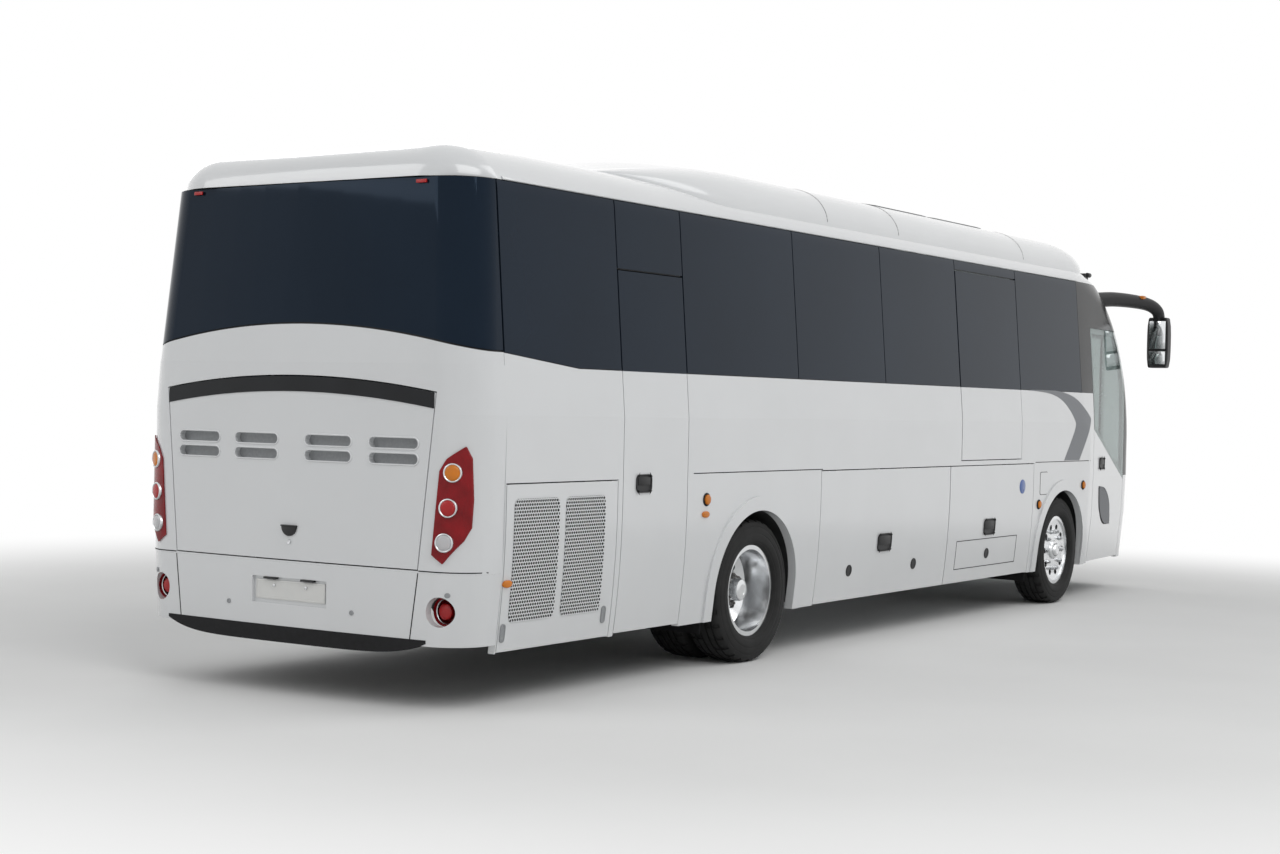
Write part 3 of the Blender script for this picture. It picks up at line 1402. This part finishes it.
@dataclass
class Roof:
    """The roof's skin, with the flatter crown that the photograph shows."""

    tail_cells: int = 20  # cells round the rear end
    run_cells: int = 12  # cells along the straight middle
    nose_cells: int = 28  # cells over the nose
    flat_cells: int = 6  # cells across each half of the flat middle
    edge_cells: int = 16  # cells round each edge
    lining: float = 0.86  # share of the height at which the lining hangs

    def across(self, number: int) -> float:
        """Place across of a row of points.

        Args:
            number: the row, counted from the right edge.

        Returns:
            The place across.
        """
        middle = self.flat_cells + self.edge_cells
        step = abs(number - middle)
        if step <= self.flat_cells:
            return math.copysign(SKIN.edge_y * step / self.flat_cells, number - middle)
        most = math.acos((SKIN.cant - SKIN.roof + SKIN.edge_r) / SKIN.edge_r)
        turn = most * (step - self.flat_cells) / self.edge_cells
        return math.copysign(SKIN.edge_y + SKIN.edge_r * math.sin(turn), number - middle)

    def along(self, number: int, y: float) -> Pair:
        """A point of the skin's line at a place across.

        Args:
            number: the point, counted from the rear.
            y: the place across.

        Returns:
            The station and the height.
        """
        reach = max(0.0, SKIN.crest(y) - SKIN.cant)
        if number < self.tail_cells:
            turn = math.pi / 2 * number / self.tail_cells
            return SKIN.tail_hub - reach * math.cos(turn), SKIN.cant + SKIN.crown * reach * math.sin(turn)
        number -= self.tail_cells
        if number <= self.run_cells:
            x = SKIN.tail_hub + (SKIN.hub_x - SKIN.tail_hub) * number / self.run_cells
            return x, SKIN.seen_top(x, y)
        radius = SKIN.cant + reach - SKIN.hub_z
        most = math.acos(min(1.0, (SKIN.cant - SKIN.hub_z) / radius))
        turn = most * (number - self.run_cells) / self.nose_cells
        rise = radius * math.cos(turn) + SKIN.hub_z - SKIN.cant
        return SKIN.hub_x + radius * math.sin(turn), SKIN.cant + SKIN.crown * max(0.0, rise)

    def build(self) -> None:
        """Builds the skin in place of the plain roof."""
        columns = self.tail_cells + self.run_cells + self.nose_cells
        rows = 2 * (self.flat_cells + self.edge_cells)

        def place(share: float, top: float, part: float) -> Triple:
            """A point of the skin or its lining."""
            y = self.across(round(part * rows))
            x, z = self.along(round(share * columns), y)
            return x, y, z if top > 0.5 else SKIN.cant + self.lining * (z - SKIN.cant)

        piece = Bench.shape(Bench.sheet("roof_skin", columns, rows, 0.0, 1.0), place)
        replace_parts(Bench.fit(piece, "body", Look.PAINT, "body_paint", 50.0), "roof")


@dataclass
class Hood:
    """Smooth cover of the roof unit, with its seams and vents."""

    start: float = -3.78  # station of its rear tip
    end: float = 4.29  # station of its front tip
    foot: float = 1.084  # half width at its seam
    # Half of its section, as share of the half width and height above the roof
    profile: Sequence[Pair] = (
        (0.0, 0.245), (0.276, 0.226), (0.553, 0.186), (0.737, 0.153),
        (0.862, 0.136), (0.94, 0.112), (0.986, 0.071), (1.0, 0.020),
    )
    rear_run: float = 1.7  # length over which it rises at the rear
    front_run: float = 0.95  # length over which it falls at the front
    rear_round: Pair = (1.35, 0.38)  # length and narrowest share of its rounding at the rear
    front_round: Pair = (0.62, 0.55)  # length and narrowest share of its rounding at the front
    proud: float = 0.003  # height of its foot above the roof
    sink: float = 0.004  # depth of its underside below the roof's face
    vents: Sequence[Pair] = ((0.2, 1.1), (1.3, 2.2))  # stations of the vents on its top
    joints: Place = (-1.15, 0.0, 2.45)  # stations of its cross seams

    def reach(self, x: float) -> float:
        """Half width at a station."""
        half = self.foot
        for far, (run, least) in ((x - self.start, self.rear_round), (self.end - x, self.front_round)):
            share = min(1.0, max(0.0, far / run))
            half *= least + (1.0 - least) * math.sqrt(1 - (1 - share) ** 2)
        return half

    def lift(self, x: float) -> float:
        """Share of the full height at a station."""
        rear = min(1.0, max(0.0, (x - self.start) / self.rear_run))
        front = min(1.0, max(0.0, (self.end - x) / self.front_run))
        return math.sin(math.pi / 2 * rear**2 / (rear + 0.05) * 1.05) * math.sqrt(1.0 - (1.0 - front) ** 2)

    def place(self, x: float, across: float) -> Pair:
        """Place across and height on the cover, at a station and a share of its section from -1 to 1."""
        share, rise = smooth_point(self.profile, abs(across))
        y = math.copysign(share * self.reach(x), across)
        return y, SKIN.seen_top(x, y) + self.proud + self.lift(x) * rise

    def cover(self) -> None:
        """The cover itself, which takes the place of the plain solid."""

        def point(share: float, top: float, side: float) -> Triple:
            """A point of the cover's face or its underside."""
            x = self.start + share * (self.end - self.start)
            y, z = self.place(x, 2.0 * side - 1.0)
            return x, y, z if top > 0.5 else SKIN.seen_top(x, y) - self.sink

        piece = Bench.shape(Bench.sheet("hood_cover", 96, 48, 0.0, 1.0), point)
        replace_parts(Bench.fit(piece, "body", Look.PAINT, "body_paint", 50.0), "roof_unit")

    def strip(self, name: str, x0: float, x1: float, half: float, sink: float, proud: float) -> Piece:
        """A thin piece laid over the cover.

        Args:
            name: name of the piece.
            x0: first station.
            x1: last station.
            half: half its width, as a share.
            sink: depth of its back.
            proud: height of its face.

        Returns:
            The piece.
        """

        def point(share: float, out: float, side: float) -> Triple:
            """A point of the piece."""
            x = x0 + share * (x1 - x0)
            y, z = self.place(x, (2.0 * side - 1.0) * half)
            return x, y, z + out

        return Bench.shape(Bench.sheet(name, 8, 40, -sink, proud), point)

    def build(self) -> None:
        """Builds the cover, its cross seams and its vents."""
        self.cover()
        seams = [self.strip("hood_seam", x - 0.004, x + 0.004, 0.985, 0.002, 0.0012) for x in self.joints]
        Bench.group("hood_seams", seams, "body", Look.RUBBER, "rubber")
        grids = [self.strip("hood_vent", x0, x1, 0.42, 0.002, 0.006) for x0, x1 in self.vents]
        for grid in grids:
            Bench.press(grid, (0.03, 0.004), way=(0.0, 0.0, 1.0), share=0.7)
        Bench.group("hood_vents", grids, "body", Look.VENT, "black_frame")


@dataclass
class Mirrors:
    """Rounded mirror heads on curved arms, with lamps and a roof camera."""

    # Middle line of the left arm
    route: Sequence[Triple] = (
        (4.54, 0.955, 2.765), (4.75, 1.050, 2.785), (5.00, 1.160, 2.780), (5.19, 1.255, 2.755),
        (5.295, 1.308, 2.700), (5.335, 1.320, 2.620), (5.340, 1.322, 2.540),
    )
    girth: Pair = (0.074, 0.050)  # radius of the arm at its foot and at its end
    head: Triple = (5.342, 1.322, 2.39)  # middle of the left head
    size: Triple = (0.062, 0.105, 0.245)  # half depth, half width and half height of a head
    pane: float = 0.080  # half width of its glass
    # Lowest and highest edge of each glass, from the head's middle
    panes: Sequence[Pair] = ((-0.06, 0.21), (-0.21, -0.085))
    lamp: Box = ((5.03, 1.205, 2.80), (5.12, 1.262, 2.835))  # corners of the left arm's lamp
    camera: Box = ((4.20, -0.985, 2.93), (4.28, -0.925, 3.0))  # corners of the roof camera's foot
    eye: Triple = (4.27, -0.985, 2.985)  # middle of the camera

    def arm(self) -> Piece:
        """The left arm, swept along its route.

        Returns:
            The arm.
        """
        piece = Bench.drum("mirror_arm", (0.0, 0.0, 0.5), 1.0, 1.0, Axis.Z, 0.0, 20)
        Bench.edit(piece)
        bpy.ops.mesh.select_all(action="DESELECT")
        Bench.done()
        for edge in piece.data.edges:
            ends = [piece.data.vertices[i].co.z for i in edge.vertices]
            edge.select = abs(ends[0] - ends[1]) > 0.5
        bpy.ops.object.mode_set(mode="EDIT")
        bpy.ops.mesh.subdivide(number_cuts=40)
        Bench.done()
        for vertex in piece.data.vertices:
            share = min(1.0, max(0.0, vertex.co.z))
            here = Vector(smooth_point(self.route, share))
            near = Vector(smooth_point(self.route, max(0.0, share - 0.01)))
            far = Vector(smooth_point(self.route, min(1.0, share + 0.01)))
            turn = Vector((0.0, 0.0, 1.0)).rotation_difference((far - near).normalized())
            girth = self.girth[0] + share * (self.girth[1] - self.girth[0])
            vertex.co = here + turn @ Vector((vertex.co.x * girth, vertex.co.y * girth, 0.0))
        Bench.outward(piece)
        return piece

    def shell(self) -> Piece:
        """The left head: a rounded shell with a recess for its glass at the back.

        Returns:
            The shell.
        """
        low = [m - s for m, s in zip(self.head, self.size)]
        high = [m + s for m, s in zip(self.head, self.size)]
        piece = Bench.block("mirror_head", low, high)
        Bench.edit(piece)
        bpy.ops.mesh.subdivide(number_cuts=5)
        Bench.done()
        for vertex in piece.data.vertices:
            part = [(c - m) / s for c, m, s in zip(vertex.co, self.head, self.size)]
            bulge = 1.0 - 0.16 * part[1] ** 2 - 0.10 * part[2] ** 2
            narrow = 1.0 - 0.14 * (part[2] ** 4)
            front = 1.0 if part[0] < 0 else bulge
            scale = (front, narrow, 1.0)
            vertex.co = [m + s * p * k for m, s, p, k in zip(self.head, self.size, part, scale)]
        Bench.soften(piece, 0.026, 3, 60.0)
        return Bench.press(piece, (0.012, -0.010), way=(-1.0, 0.0, 0.0), share=0.95)

    def build(self) -> None:
        """Builds both mirrors."""
        arm, shell = self.arm(), self.shell()
        holder = Bench.join("mirror_left", (arm, shell))
        pair = Bench.join("mirror_heads", (holder, Bench.mirrored(holder)))
        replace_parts(Bench.fit(pair, "body", Look.PLASTIC, "black_frame", 60.0), "mirrors")
        x, y, z = self.head
        panes = []
        back = x - self.size[0]
        for low, high in self.panes:
            corners = (back + 0.003, y - self.pane, z + low), (back + 0.0085, y + self.pane, z + high)
            pane = Bench.block("mirror_pane", *corners, 0.002)
            panes += [pane, Bench.mirrored(pane)]
        Bench.group("mirror_panes", panes, "body", Look.MIRROR, "tinted_glass")
        lamp = Bench.block("arm_lamp", *self.lamp, 0.01)
        Bench.group("arm_lamps", (lamp, Bench.mirrored(lamp)), "body", Look.AMBER, "lamp_amber")
        foot = Bench.block("camera_foot", *self.camera, 0.008)
        eye = Bench.drum("camera_eye", self.eye, 0.022, 0.07, Axis.X, 0.005, 24)
        Bench.group("roof_camera", (foot, eye), "body", Look.PLASTIC, "black_frame")


@dataclass
class FrontFace:
    """Lamps, plate, sign panel, blades and marks of the front."""

    lamps: Place = (0.50, 0.69)  # places across of the headlamps
    lamp_z: float = 0.80  # height of the headlamps
    fog: Pair = (0.80, 0.47)  # place across and height of the fog lamps
    fog_share: float = 0.62  # size of the fog lamps, as a share of the headlamps
    plate: Triple = (0.26, 0.50, 0.61)  # half width, lowest and highest edge of the blank plate
    slots: Place = (0.37, 0.405, 0.44)  # heights of the cooling slots in the bumper
    slat: Pair = (0.55, 0.010)  # half width and half height of a slot's slat
    turn: Box = ((0.84, -0.002, 0.745), (0.97, 0.008, 0.855))  # corners of the left turn lamp
    sign: Triple = (0.75, 2.50, 0.26)  # half width, lowest edge and height of the sign panel
    # Ends of the left blade, as place across and height
    blade: Sequence[Pair] = ((0.22, 1.118), (0.98, 1.205))
    blade_tall: float = 0.012  # height of a blade

    def headlamps(self) -> None:
        """Bezels and domed lenses of the headlamps, and bowls of the fog lamps."""
        bezel = Bench.lathe("head_bezel", Outline.HEAD_BEZEL.value, 56)
        lens = Bench.lathe("head_lens", Outline.HEAD_LENS.value, 56, closed=False)
        bezels, lenses = [], []
        for y in self.lamps:
            for hand in HANDS:
                front = (SKIN.front(y, self.lamp_z), hand * y, self.lamp_z)
                bezels.append(Bench.copy(bezel, front, -90.0, "Z"))
                lenses.append(Bench.copy(lens, (front[0] + 0.0055, *front[1:]), -90.0, "Z"))
        y, z = self.fog
        small = Bench.copy(lens)
        ring = Bench.copy(bezel)
        for piece in (small, ring):
            piece.data.transform(Matrix.Scale(self.fog_share, 4))
        for hand in HANDS:
            place = (SKIN.front(y, z) + 0.002, hand * y, z)
            lenses.append(Bench.copy(small, place, -90.0, "Z"))
            bezels.append(Bench.copy(ring, place, -90.0, "Z"))
        Bench.drop(bezel, lens, small, ring)
        Bench.group("head_bezels", bezels, "body", Look.STEEL, "rim")
        Bench.group("head_lenses", lenses, "body", Look.CLEAR, "lamp_clear")

    def bumper(self) -> None:
        """Blank plate, cooling slots and the turn lamps."""
        half, low, high = self.plate
        plate = Bench.block("front_plate", (-half, 0.002, low), (half, 0.010, high), 0.0015)
        Bench.press(plate, (0.008, -0.0012))
        Bench.fit(Bench.on_nose(plate), "body", Look.PLATE, "body_paint")
        half, tall = self.slat
        slats = [
            Bench.block("bumper_slat", (-half, -0.001, z - tall), (half, 0.006, z + tall), 0.004)
            for z in self.slots
        ]
        Bench.fit(Bench.on_nose(Bench.join("bumper_slats", slats)), "body", Look.PLASTIC, "black_frame")
        lamp = Bench.block("turn_lamp", *self.turn, 0.004, 4)
        Bench.on_nose(lamp)
        Bench.group("turn_lamps", (lamp, Bench.mirrored(lamp)), "body", Look.AMBER, "lamp_amber")

    def screen(self) -> None:
        """Blank sign panel behind the screen, and blades on the wipers."""
        half, low, tall = self.sign
        panel = Bench.sheet("sign_panel", 20, 4, -0.10, -0.075)
        for vertex in panel.data.vertices:
            share, out, part = vertex.co
            vertex.co = (2.0 * half * share - half, out, low + tall * part)
        Bench.fit(Bench.on_nose(panel), "body", Look.PLASTIC, "black_frame")
        blade = Bench.sheet("wiper_blade", 24, 1, 0.001, 0.016)
        for vertex in blade.data.vertices:
            share, out, part = vertex.co
            y, z = between(*self.blade, share)
            vertex.co = (y, out, z + self.blade_tall * part)
        Bench.on_nose(blade)
        Bench.group("wiper_blades", (blade, Bench.mirrored(blade)), "body", Look.RUBBER, "rubber")

    def build(self) -> None:
        """Builds all pieces of the front."""
        self.headlamps()
        self.bumper()
        self.screen()


@dataclass
class Skirts:
    """Rear valance and gutters."""

    valance: Pair = (0.300, 0.392)  # lowest and highest edge of the black valance under the rear bumper
    valance_half: float = 0.97  # half its width
    arch: float = 0.8  # share of its height by which its ends rise
    bend: int = 6  # how suddenly they rise
    gutter: Pair = (2.884, 2.896)  # lowest and highest edge of the gutter over the windows
    gutter_run: Pair = (-5.02, 8.6)  # first station and length of the gutter

    def build(self) -> None:
        """Builds the valance and the gutters."""
        lip = Bench.sheet("rear_valance", 60, 3, -0.030, 0.0015)
        low, high = self.valance
        for vertex in lip.data.vertices:
            across, out, part = 2.0 * vertex.co.x - 1.0, vertex.co.y, vertex.co.z
            foot = low + self.arch * (high - low) * across**self.bend
            vertex.co = (self.valance_half * across, out, foot + part * (high - foot))
        Bench.fit(Bench.on_rear(lip), "body", Look.RUBBER, "black_frame")
        (low, high), (start, run) = self.gutter, self.gutter_run
        for hand in (RIGHT, LEFT):
            rail = Bench.sheet(f"gutter_{WORDS[hand]}", 80, 2, -0.002, 0.007)
            for vertex in rail.data.vertices:
                share, out, part = vertex.co
                vertex.co = (start + share * run, out, low + part * (high - low))
            Bench.fit(Bench.on_side(rail, hand), "body", Look.PAINT, "body_paint")


@dataclass
class Seats:
    """Padded seats with sewn channels."""

    first: float = -4.76  # station of the rearmost seats
    pitch: float = 0.78  # distance between rows
    rows: int = 10  # rows on the left
    gaps: Sequence[int] = (1, 2, 7, 8)  # rows that are left out on the right, at the doors
    aisle: float = 0.30  # place across of the inner edge
    wide: float = 0.415  # width of one cushion
    split: float = 0.010  # gap between the two cushions of a pair
    base: float = 1.5003  # height of the cushions' underside
    deep: float = 0.45  # depth of a cushion
    thick: float = 0.13  # thickness of a cushion
    back: float = 0.11  # thickness of a backrest
    tall: float = 0.77  # height of a backrest above the underside
    driver: Triple = (3.91, 0.35, 1.2603)  # place of the driver's cushion: station, place across and height
    driver_wide: float = 0.50  # width of the driver's cushion
    voxel: float = 0.030  # cell of the remesh
    frames: int = 10  # steps of the swelling
    cap: float = 0.020  # farthest that a point may swell
    channels: Place = (0.30, 0.44, 0.58)  # heights of the backrest's sewn channels above the underside
    fill: float = 0.75  # how full the pads are
    inset: float = 0.012  # room left round a pad for its swelling
    soft: float = 0.022  # rounding of a pad before it swells
    force: float = 4.0  # pressure of the swelling
    taper: float = 0.10  # share by which a backrest narrows at its top

    def pad(self, name: str, low: Place, high: Place) -> Piece:
        """One padded form, swollen by cloth simulation within its box.

        Args:
            name: name of the piece.
            low: lowest corner of its box.
            high: highest corner of its box.

        Returns:
            The pad.
        """
        corners = [c + self.inset for c in low], [c - self.inset for c in high]
        piece = Bench.block(name, *corners, self.soft)
        Bench.take(piece)
        remesh = piece.modifiers.new("remesh", "REMESH")
        remesh.mode = "VOXEL"
        remesh.voxel_size = self.voxel
        bpy.ops.object.modifier_apply(modifier=remesh.name)
        self.swell(piece)
        for vertex in piece.data.vertices:
            vertex.co = [min(max(c, a), b) for c, a, b in zip(vertex.co, low, high)]
        return piece

    def swell(self, piece: Piece) -> None:
        """Swells a pad by pressure, each point by no more than the cap.

        Args:
            piece: the pad.
        """
        scene = bpy.context.scene
        scene.frame_set(1)
        start = [vertex.co.copy() for vertex in piece.data.vertices]
        Bench.take(piece)
        cloth = piece.modifiers.new("swell", "CLOTH")
        cloth.settings.use_pressure = True
        cloth.settings.uniform_pressure_force = self.force
        cloth.settings.effector_weights.gravity = 0.0
        for number in range(1, self.frames + 1):
            scene.frame_set(number)
        bpy.ops.object.modifier_apply(modifier=cloth.name)
        scene.frame_set(1)
        for vertex, old in zip(piece.data.vertices, start):
            move = vertex.co - old
            vertex.co = old + move * min(1.0, self.cap / max(move.length, 1e-6))

    def seat(self) -> Piece:
        """One seat at the origin: a crowned cushion and a backrest with sewn channels.

        Returns:
            The seat.
        """
        wide = self.wide
        cushion = self.pad("cushion", (0.0, 0.0, 0.0), (self.deep, wide, self.thick))
        for vertex in cushion.data.vertices:
            if vertex.co.z > self.thick * 0.5:
                along, across = vertex.co.x / self.deep * 2 - 1, vertex.co.y / wide * 2 - 1
                seam = math.exp(-(((abs(across) - 0.62) / 0.07) ** 2)) if along < 0.8 else 0.0
                vertex.co.z -= 0.010 * across**2 + 0.012 * max(0.0, along) ** 3 + 0.007 * seam
        rest = self.pad("backrest", (-self.back, 0.0, 0.0), (-0.004, wide, self.tall))
        for vertex in rest.data.vertices:
            across, up = vertex.co.y / wide * 2 - 1, vertex.co.z
            if vertex.co.x > -self.back * 0.5:
                channel = sum(math.exp(-(((up - z) / 0.020) ** 2)) for z in self.channels)
                bolster = math.exp(-(((abs(across) - 0.6) / 0.10) ** 2)) if up < 0.62 else 0.0
                vertex.co.x -= 0.011 * channel * (1 - across**4) + 0.008 * bolster
            narrow = 1.0 - self.taper * max(0.0, up / self.tall - 0.75) * 4
            vertex.co.y = wide / 2 + (vertex.co.y - wide / 2) * narrow
        return Bench.join("seat", (cushion, rest))

    def places(self) -> Iterable[Triple]:
        """Places of the passenger seats.

        Returns:
            The lowest corner of each seat, on the right and on the left.
        """
        for row in range(self.rows):
            x = self.first + row * self.pitch
            for step in (0.0, self.wide + self.split):
                yield x, self.aisle + step, self.base
                if row not in self.gaps:
                    yield x, -self.aisle - 2 * self.wide - self.split + step, self.base

    def build(self) -> None:
        """Builds the soft seats of the passengers and the driver."""
        pattern = self.seat()
        seats = {LEFT: [], RIGHT: []}
        for place in self.places():
            seats[LEFT if place[1] > 0 else RIGHT].append(Bench.copy(pattern, place))
        left = Bench.join("soft_seats_left", seats[LEFT])
        right = Bench.join("soft_seats_right", seats[RIGHT])
        driver = Bench.copy(pattern)
        widen = Matrix.Diagonal((1.0, self.driver_wide / self.wide, 1.0, 1.0))
        driver.data.transform(Matrix.Translation(self.driver) @ widen)
        driver.name = "soft_seat_driver"
        for piece in (left, right, driver):
            Bench.fit(piece, "body", Look.CLOTH, "seat_fabric", 70.0)
            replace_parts(piece, "seat_cushions")
        Bench.drop(pattern)


ASSEMBLIES: Sequence[type] = (Wheels, RearFace, Sides, Doors, Roof, Hood, Mirrors, FrontFace, Skirts, Seats)


@dataclass
class Coachwork:
    """Gives every solid of the coach its finish."""

    # The finish of each group of solids
    looks: dict[Look, tuple[str, ...]] = field(
        default_factory=lambda: {
            Look.PAINT: (
                "side_panel_left", "side_panel_right", "arch_trims", "roof", "roof_unit", "front_panel",
                "front_bumper", "rear_panel", "rear_bumper", "front_door", "rear_door", "lift_door",
                "luggage_flap_right_rear", "luggage_flap_right_front", "luggage_flap_left_rear",
                "luggage_flap_left_front", "engine_lid", "service_door_right", "service_door_left",
            ),
            Look.FRAME: ("window_frames", "front_pillars", "rear_pillars"),
            Look.GLASS: ("side_windows", "rear_window", "rear_door_glass", "lift_door_glass"),
            Look.SCREEN: ("windscreen", "front_door_glass"),
            Look.CLEAR: ("headlamps",),
            Look.RED: ("tail_lamps",),
            Look.AMBER: ("marker_lamps",),
            Look.PLASTIC: ("mirrors", "steering_wheel", "seats"),
            Look.RUBBER: ("wipers", "mudflaps"),
            Look.DASH: ("dashboard",),
            Look.CLOTH: ("seat_cushions",),
            Look.CAST: ("engine", "front_axle", "rear_axle", "knuckle_left", "knuckle_right"),
            Look.STEEL: ("front_door_arm", "rear_door_arm"),
            Look.TYRE: ("tyre_front_left", "tyre_front_right", "tyres_rear_left", "tyres_rear_right"),
            Look.RIM: ("rim_front_left", "rim_front_right", "rims_rear_left", "rims_rear_right"),
            Look.CHASSIS: ("underframe", "wheel_housings"),
            Look.FLOOR: ("floor_deck",),
            Look.BAY: ("luggage_bay",),
        }
    )

    def dress(self, nodes: dict[str, Piece]) -> None:
        """Puts the finishes on the solids.

        Args:
            nodes: the solids by name.
        """
        for look, names in self.looks.items():
            for name in names:
                nodes[name].data.materials.clear()
                nodes[name].data.materials.append(WARDROBE.get(look))
            LOG.info("%s on %d solids", look.value.name, len(names))


@dataclass
class Studio:
    """Floor, soft light and the camera at the photograph's place."""

    floor_size: float = 240.0  # side of the floor
    floor_color: Color = (0.88, 0.88, 0.87)  # colour of the floor
    sky_color: Color = (0.86, 0.87, 0.88)  # colour of the light from all round
    seen_color: Color = (1.0, 1.0, 1.0)  # colour of the backdrop
    sky_light: float = 0.38  # strength of the light from all round
    fade: Pair = (5.8, 11.0)  # distances from the middle over which the seen floor fades into the backdrop
    eye: Place = (-13.5437, -7.6548, 1.6732)  # place of the camera
    yaw: float = 33.2366  # its heading from forward to the left, in degrees
    pitch: float = -0.6407  # its rise, in degrees
    roll: float = 1.251  # its roll, in degrees
    lens: float = 55.415  # focal length for a 36 mm frame
    # Place, size and power of the soft lamps
    lamps: Sequence[tuple[Triple, float, float]] = (
        ((-9.0, -11.0, 11.0), 9.0, 700.0),
        ((-14.0, 7.0, 9.0), 8.0, 360.0),
        ((4.0, -9.0, 12.0), 9.0, 400.0),
        ((7.0, 12.0, 10.0), 9.0, 380.0),
    )
    aim: Place = (0.0, 0.0, 1.2)  # place at which the lamps point

    def floor(self) -> None:
        """Lays the floor."""
        Bench.clear()
        bpy.ops.mesh.primitive_plane_add(size=self.floor_size)
        sheet = Bench.settle("studio_floor")
        material = Finish("studio_floor", self.floor_color, 0.85, grain=0.4, mottle=0.03).build()
        sheet.data.materials.append(material)
        self.fade_out(material)

    def seen(self, tree: bpy.types.NodeTree) -> Socket:
        """A share that is 1 where the eye looks: straight, in a reflection or through glass.

        Args:
            tree: the nodes to add it to.

        Returns:
            The socket that carries the share.
        """
        path = add_node(tree, "LightPath", {})
        share = path.outputs["Is Camera Ray"]
        for ray in ("Is Glossy Ray", "Is Transmission Ray"):
            most = add_node(tree, "Math", {0: share, 1: path.outputs[ray]}, operation="MAXIMUM")
            share = most.outputs["Value"]
        return share

    def fade_out(self, material: bpy.types.Material) -> None:
        """Lets the seen floor fade into the backdrop away from the coach.

        Args:
            material: the floor's material.
        """
        tree = material.node_tree
        glow = add_node(tree, "Emission", {"Color": (*self.seen_color, 1.0)})
        coords = add_node(tree, "TexCoord", {})
        reach = add_node(tree, "VectorMath", {0: coords.outputs["Object"]}, operation="LENGTH")
        near, far = self.fade
        ends = {"Value": reach.outputs["Value"], "From Min": near, "From Max": far}
        span = add_node(tree, "MapRange", ends, interpolation_type="SMOOTHSTEP")
        seen = add_node(tree, "Math", {0: span.outputs["Result"], 1: self.seen(tree)}, operation="MULTIPLY")
        plain = tree.nodes["Principled BSDF"].outputs["BSDF"]
        mix = add_node(tree, "MixShader", {0: seen.outputs["Value"], 1: plain, 2: glow.outputs["Emission"]})
        tree.links.new(mix.outputs["Shader"], tree.nodes["Material Output"].inputs["Surface"])

    def light(self) -> None:
        """Sets the soft lamps and the pale surround."""
        world = bpy.data.worlds.new("studio")
        bpy.context.scene.world = world
        world.use_nodes = True
        tree = world.node_tree
        lit = tree.nodes["Background"]
        lit.inputs["Color"].default_value = (*self.sky_color, 1.0)
        lit.inputs["Strength"].default_value = self.sky_light
        shown = add_node(tree, "Background", {"Color": (*self.seen_color, 1.0), "Strength": 1.0})
        skies = {0: self.seen(tree), 1: lit.outputs["Background"], 2: shown.outputs["Background"]}
        mix = add_node(tree, "MixShader", skies)
        tree.links.new(mix.outputs["Shader"], tree.nodes["World Output"].inputs["Surface"])
        for number, (place, size, power) in enumerate(self.lamps):
            lamp = bpy.data.lights.new(f"soft_lamp_{number}", "AREA")
            lamp.size = size
            lamp.energy = power
            holder = bpy.data.objects.new(lamp.name, lamp)
            holder.location = place
            sight = Vector(self.aim) - Vector(place)
            holder.rotation_euler = sight.to_track_quat("-Z", "Y").to_euler()
            bpy.context.collection.objects.link(holder)

    def camera(self) -> None:
        """Sets the camera at the photograph's place and angle."""
        yaw, pitch, roll = (math.radians(a) for a in (self.yaw, self.pitch, self.roll))
        ahead = Vector((math.cos(yaw) * math.cos(pitch), math.sin(yaw) * math.cos(pitch), math.sin(pitch)))
        right = Vector((math.sin(yaw), -math.cos(yaw), 0.0))
        above = right.cross(ahead)
        turned_right = math.cos(roll) * right + math.sin(roll) * above
        turned_up = -math.sin(roll) * right + math.cos(roll) * above
        data = bpy.data.cameras.new("photo_camera")
        data.sensor_fit = "HORIZONTAL"
        data.sensor_width = 36.0
        data.lens = self.lens
        data.clip_end = 400.0
        holder = bpy.data.objects.new("photo_camera", data)
        bpy.context.collection.objects.link(holder)
        facing = Matrix((turned_right, turned_up, -ahead)).transposed().to_4x4()
        holder.matrix_world = Matrix.Translation(self.eye) @ facing
        bpy.context.scene.camera = holder

    def build(self) -> None:
        """Builds the studio."""
        self.floor()
        self.light()
        self.camera()
        bpy.context.scene.view_settings.view_transform = "Standard"


def corners(box: tuple[Vector, Vector]) -> list[list[float]]:
    """A box as plain lists of numbers."""
    return [list(corner) for corner in box]


def main() -> None:
    """Dresses the coach, adds its pieces and sets the studio."""
    logging.basicConfig(level=logging.INFO, format="%(name)s %(message)s")
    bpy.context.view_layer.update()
    Coachwork().dress(frame["nodes"])
    for assembly in ASSEMBLIES:
        assembly().build()
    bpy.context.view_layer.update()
    Studio().build()


if __name__ == "__main__":
    main()
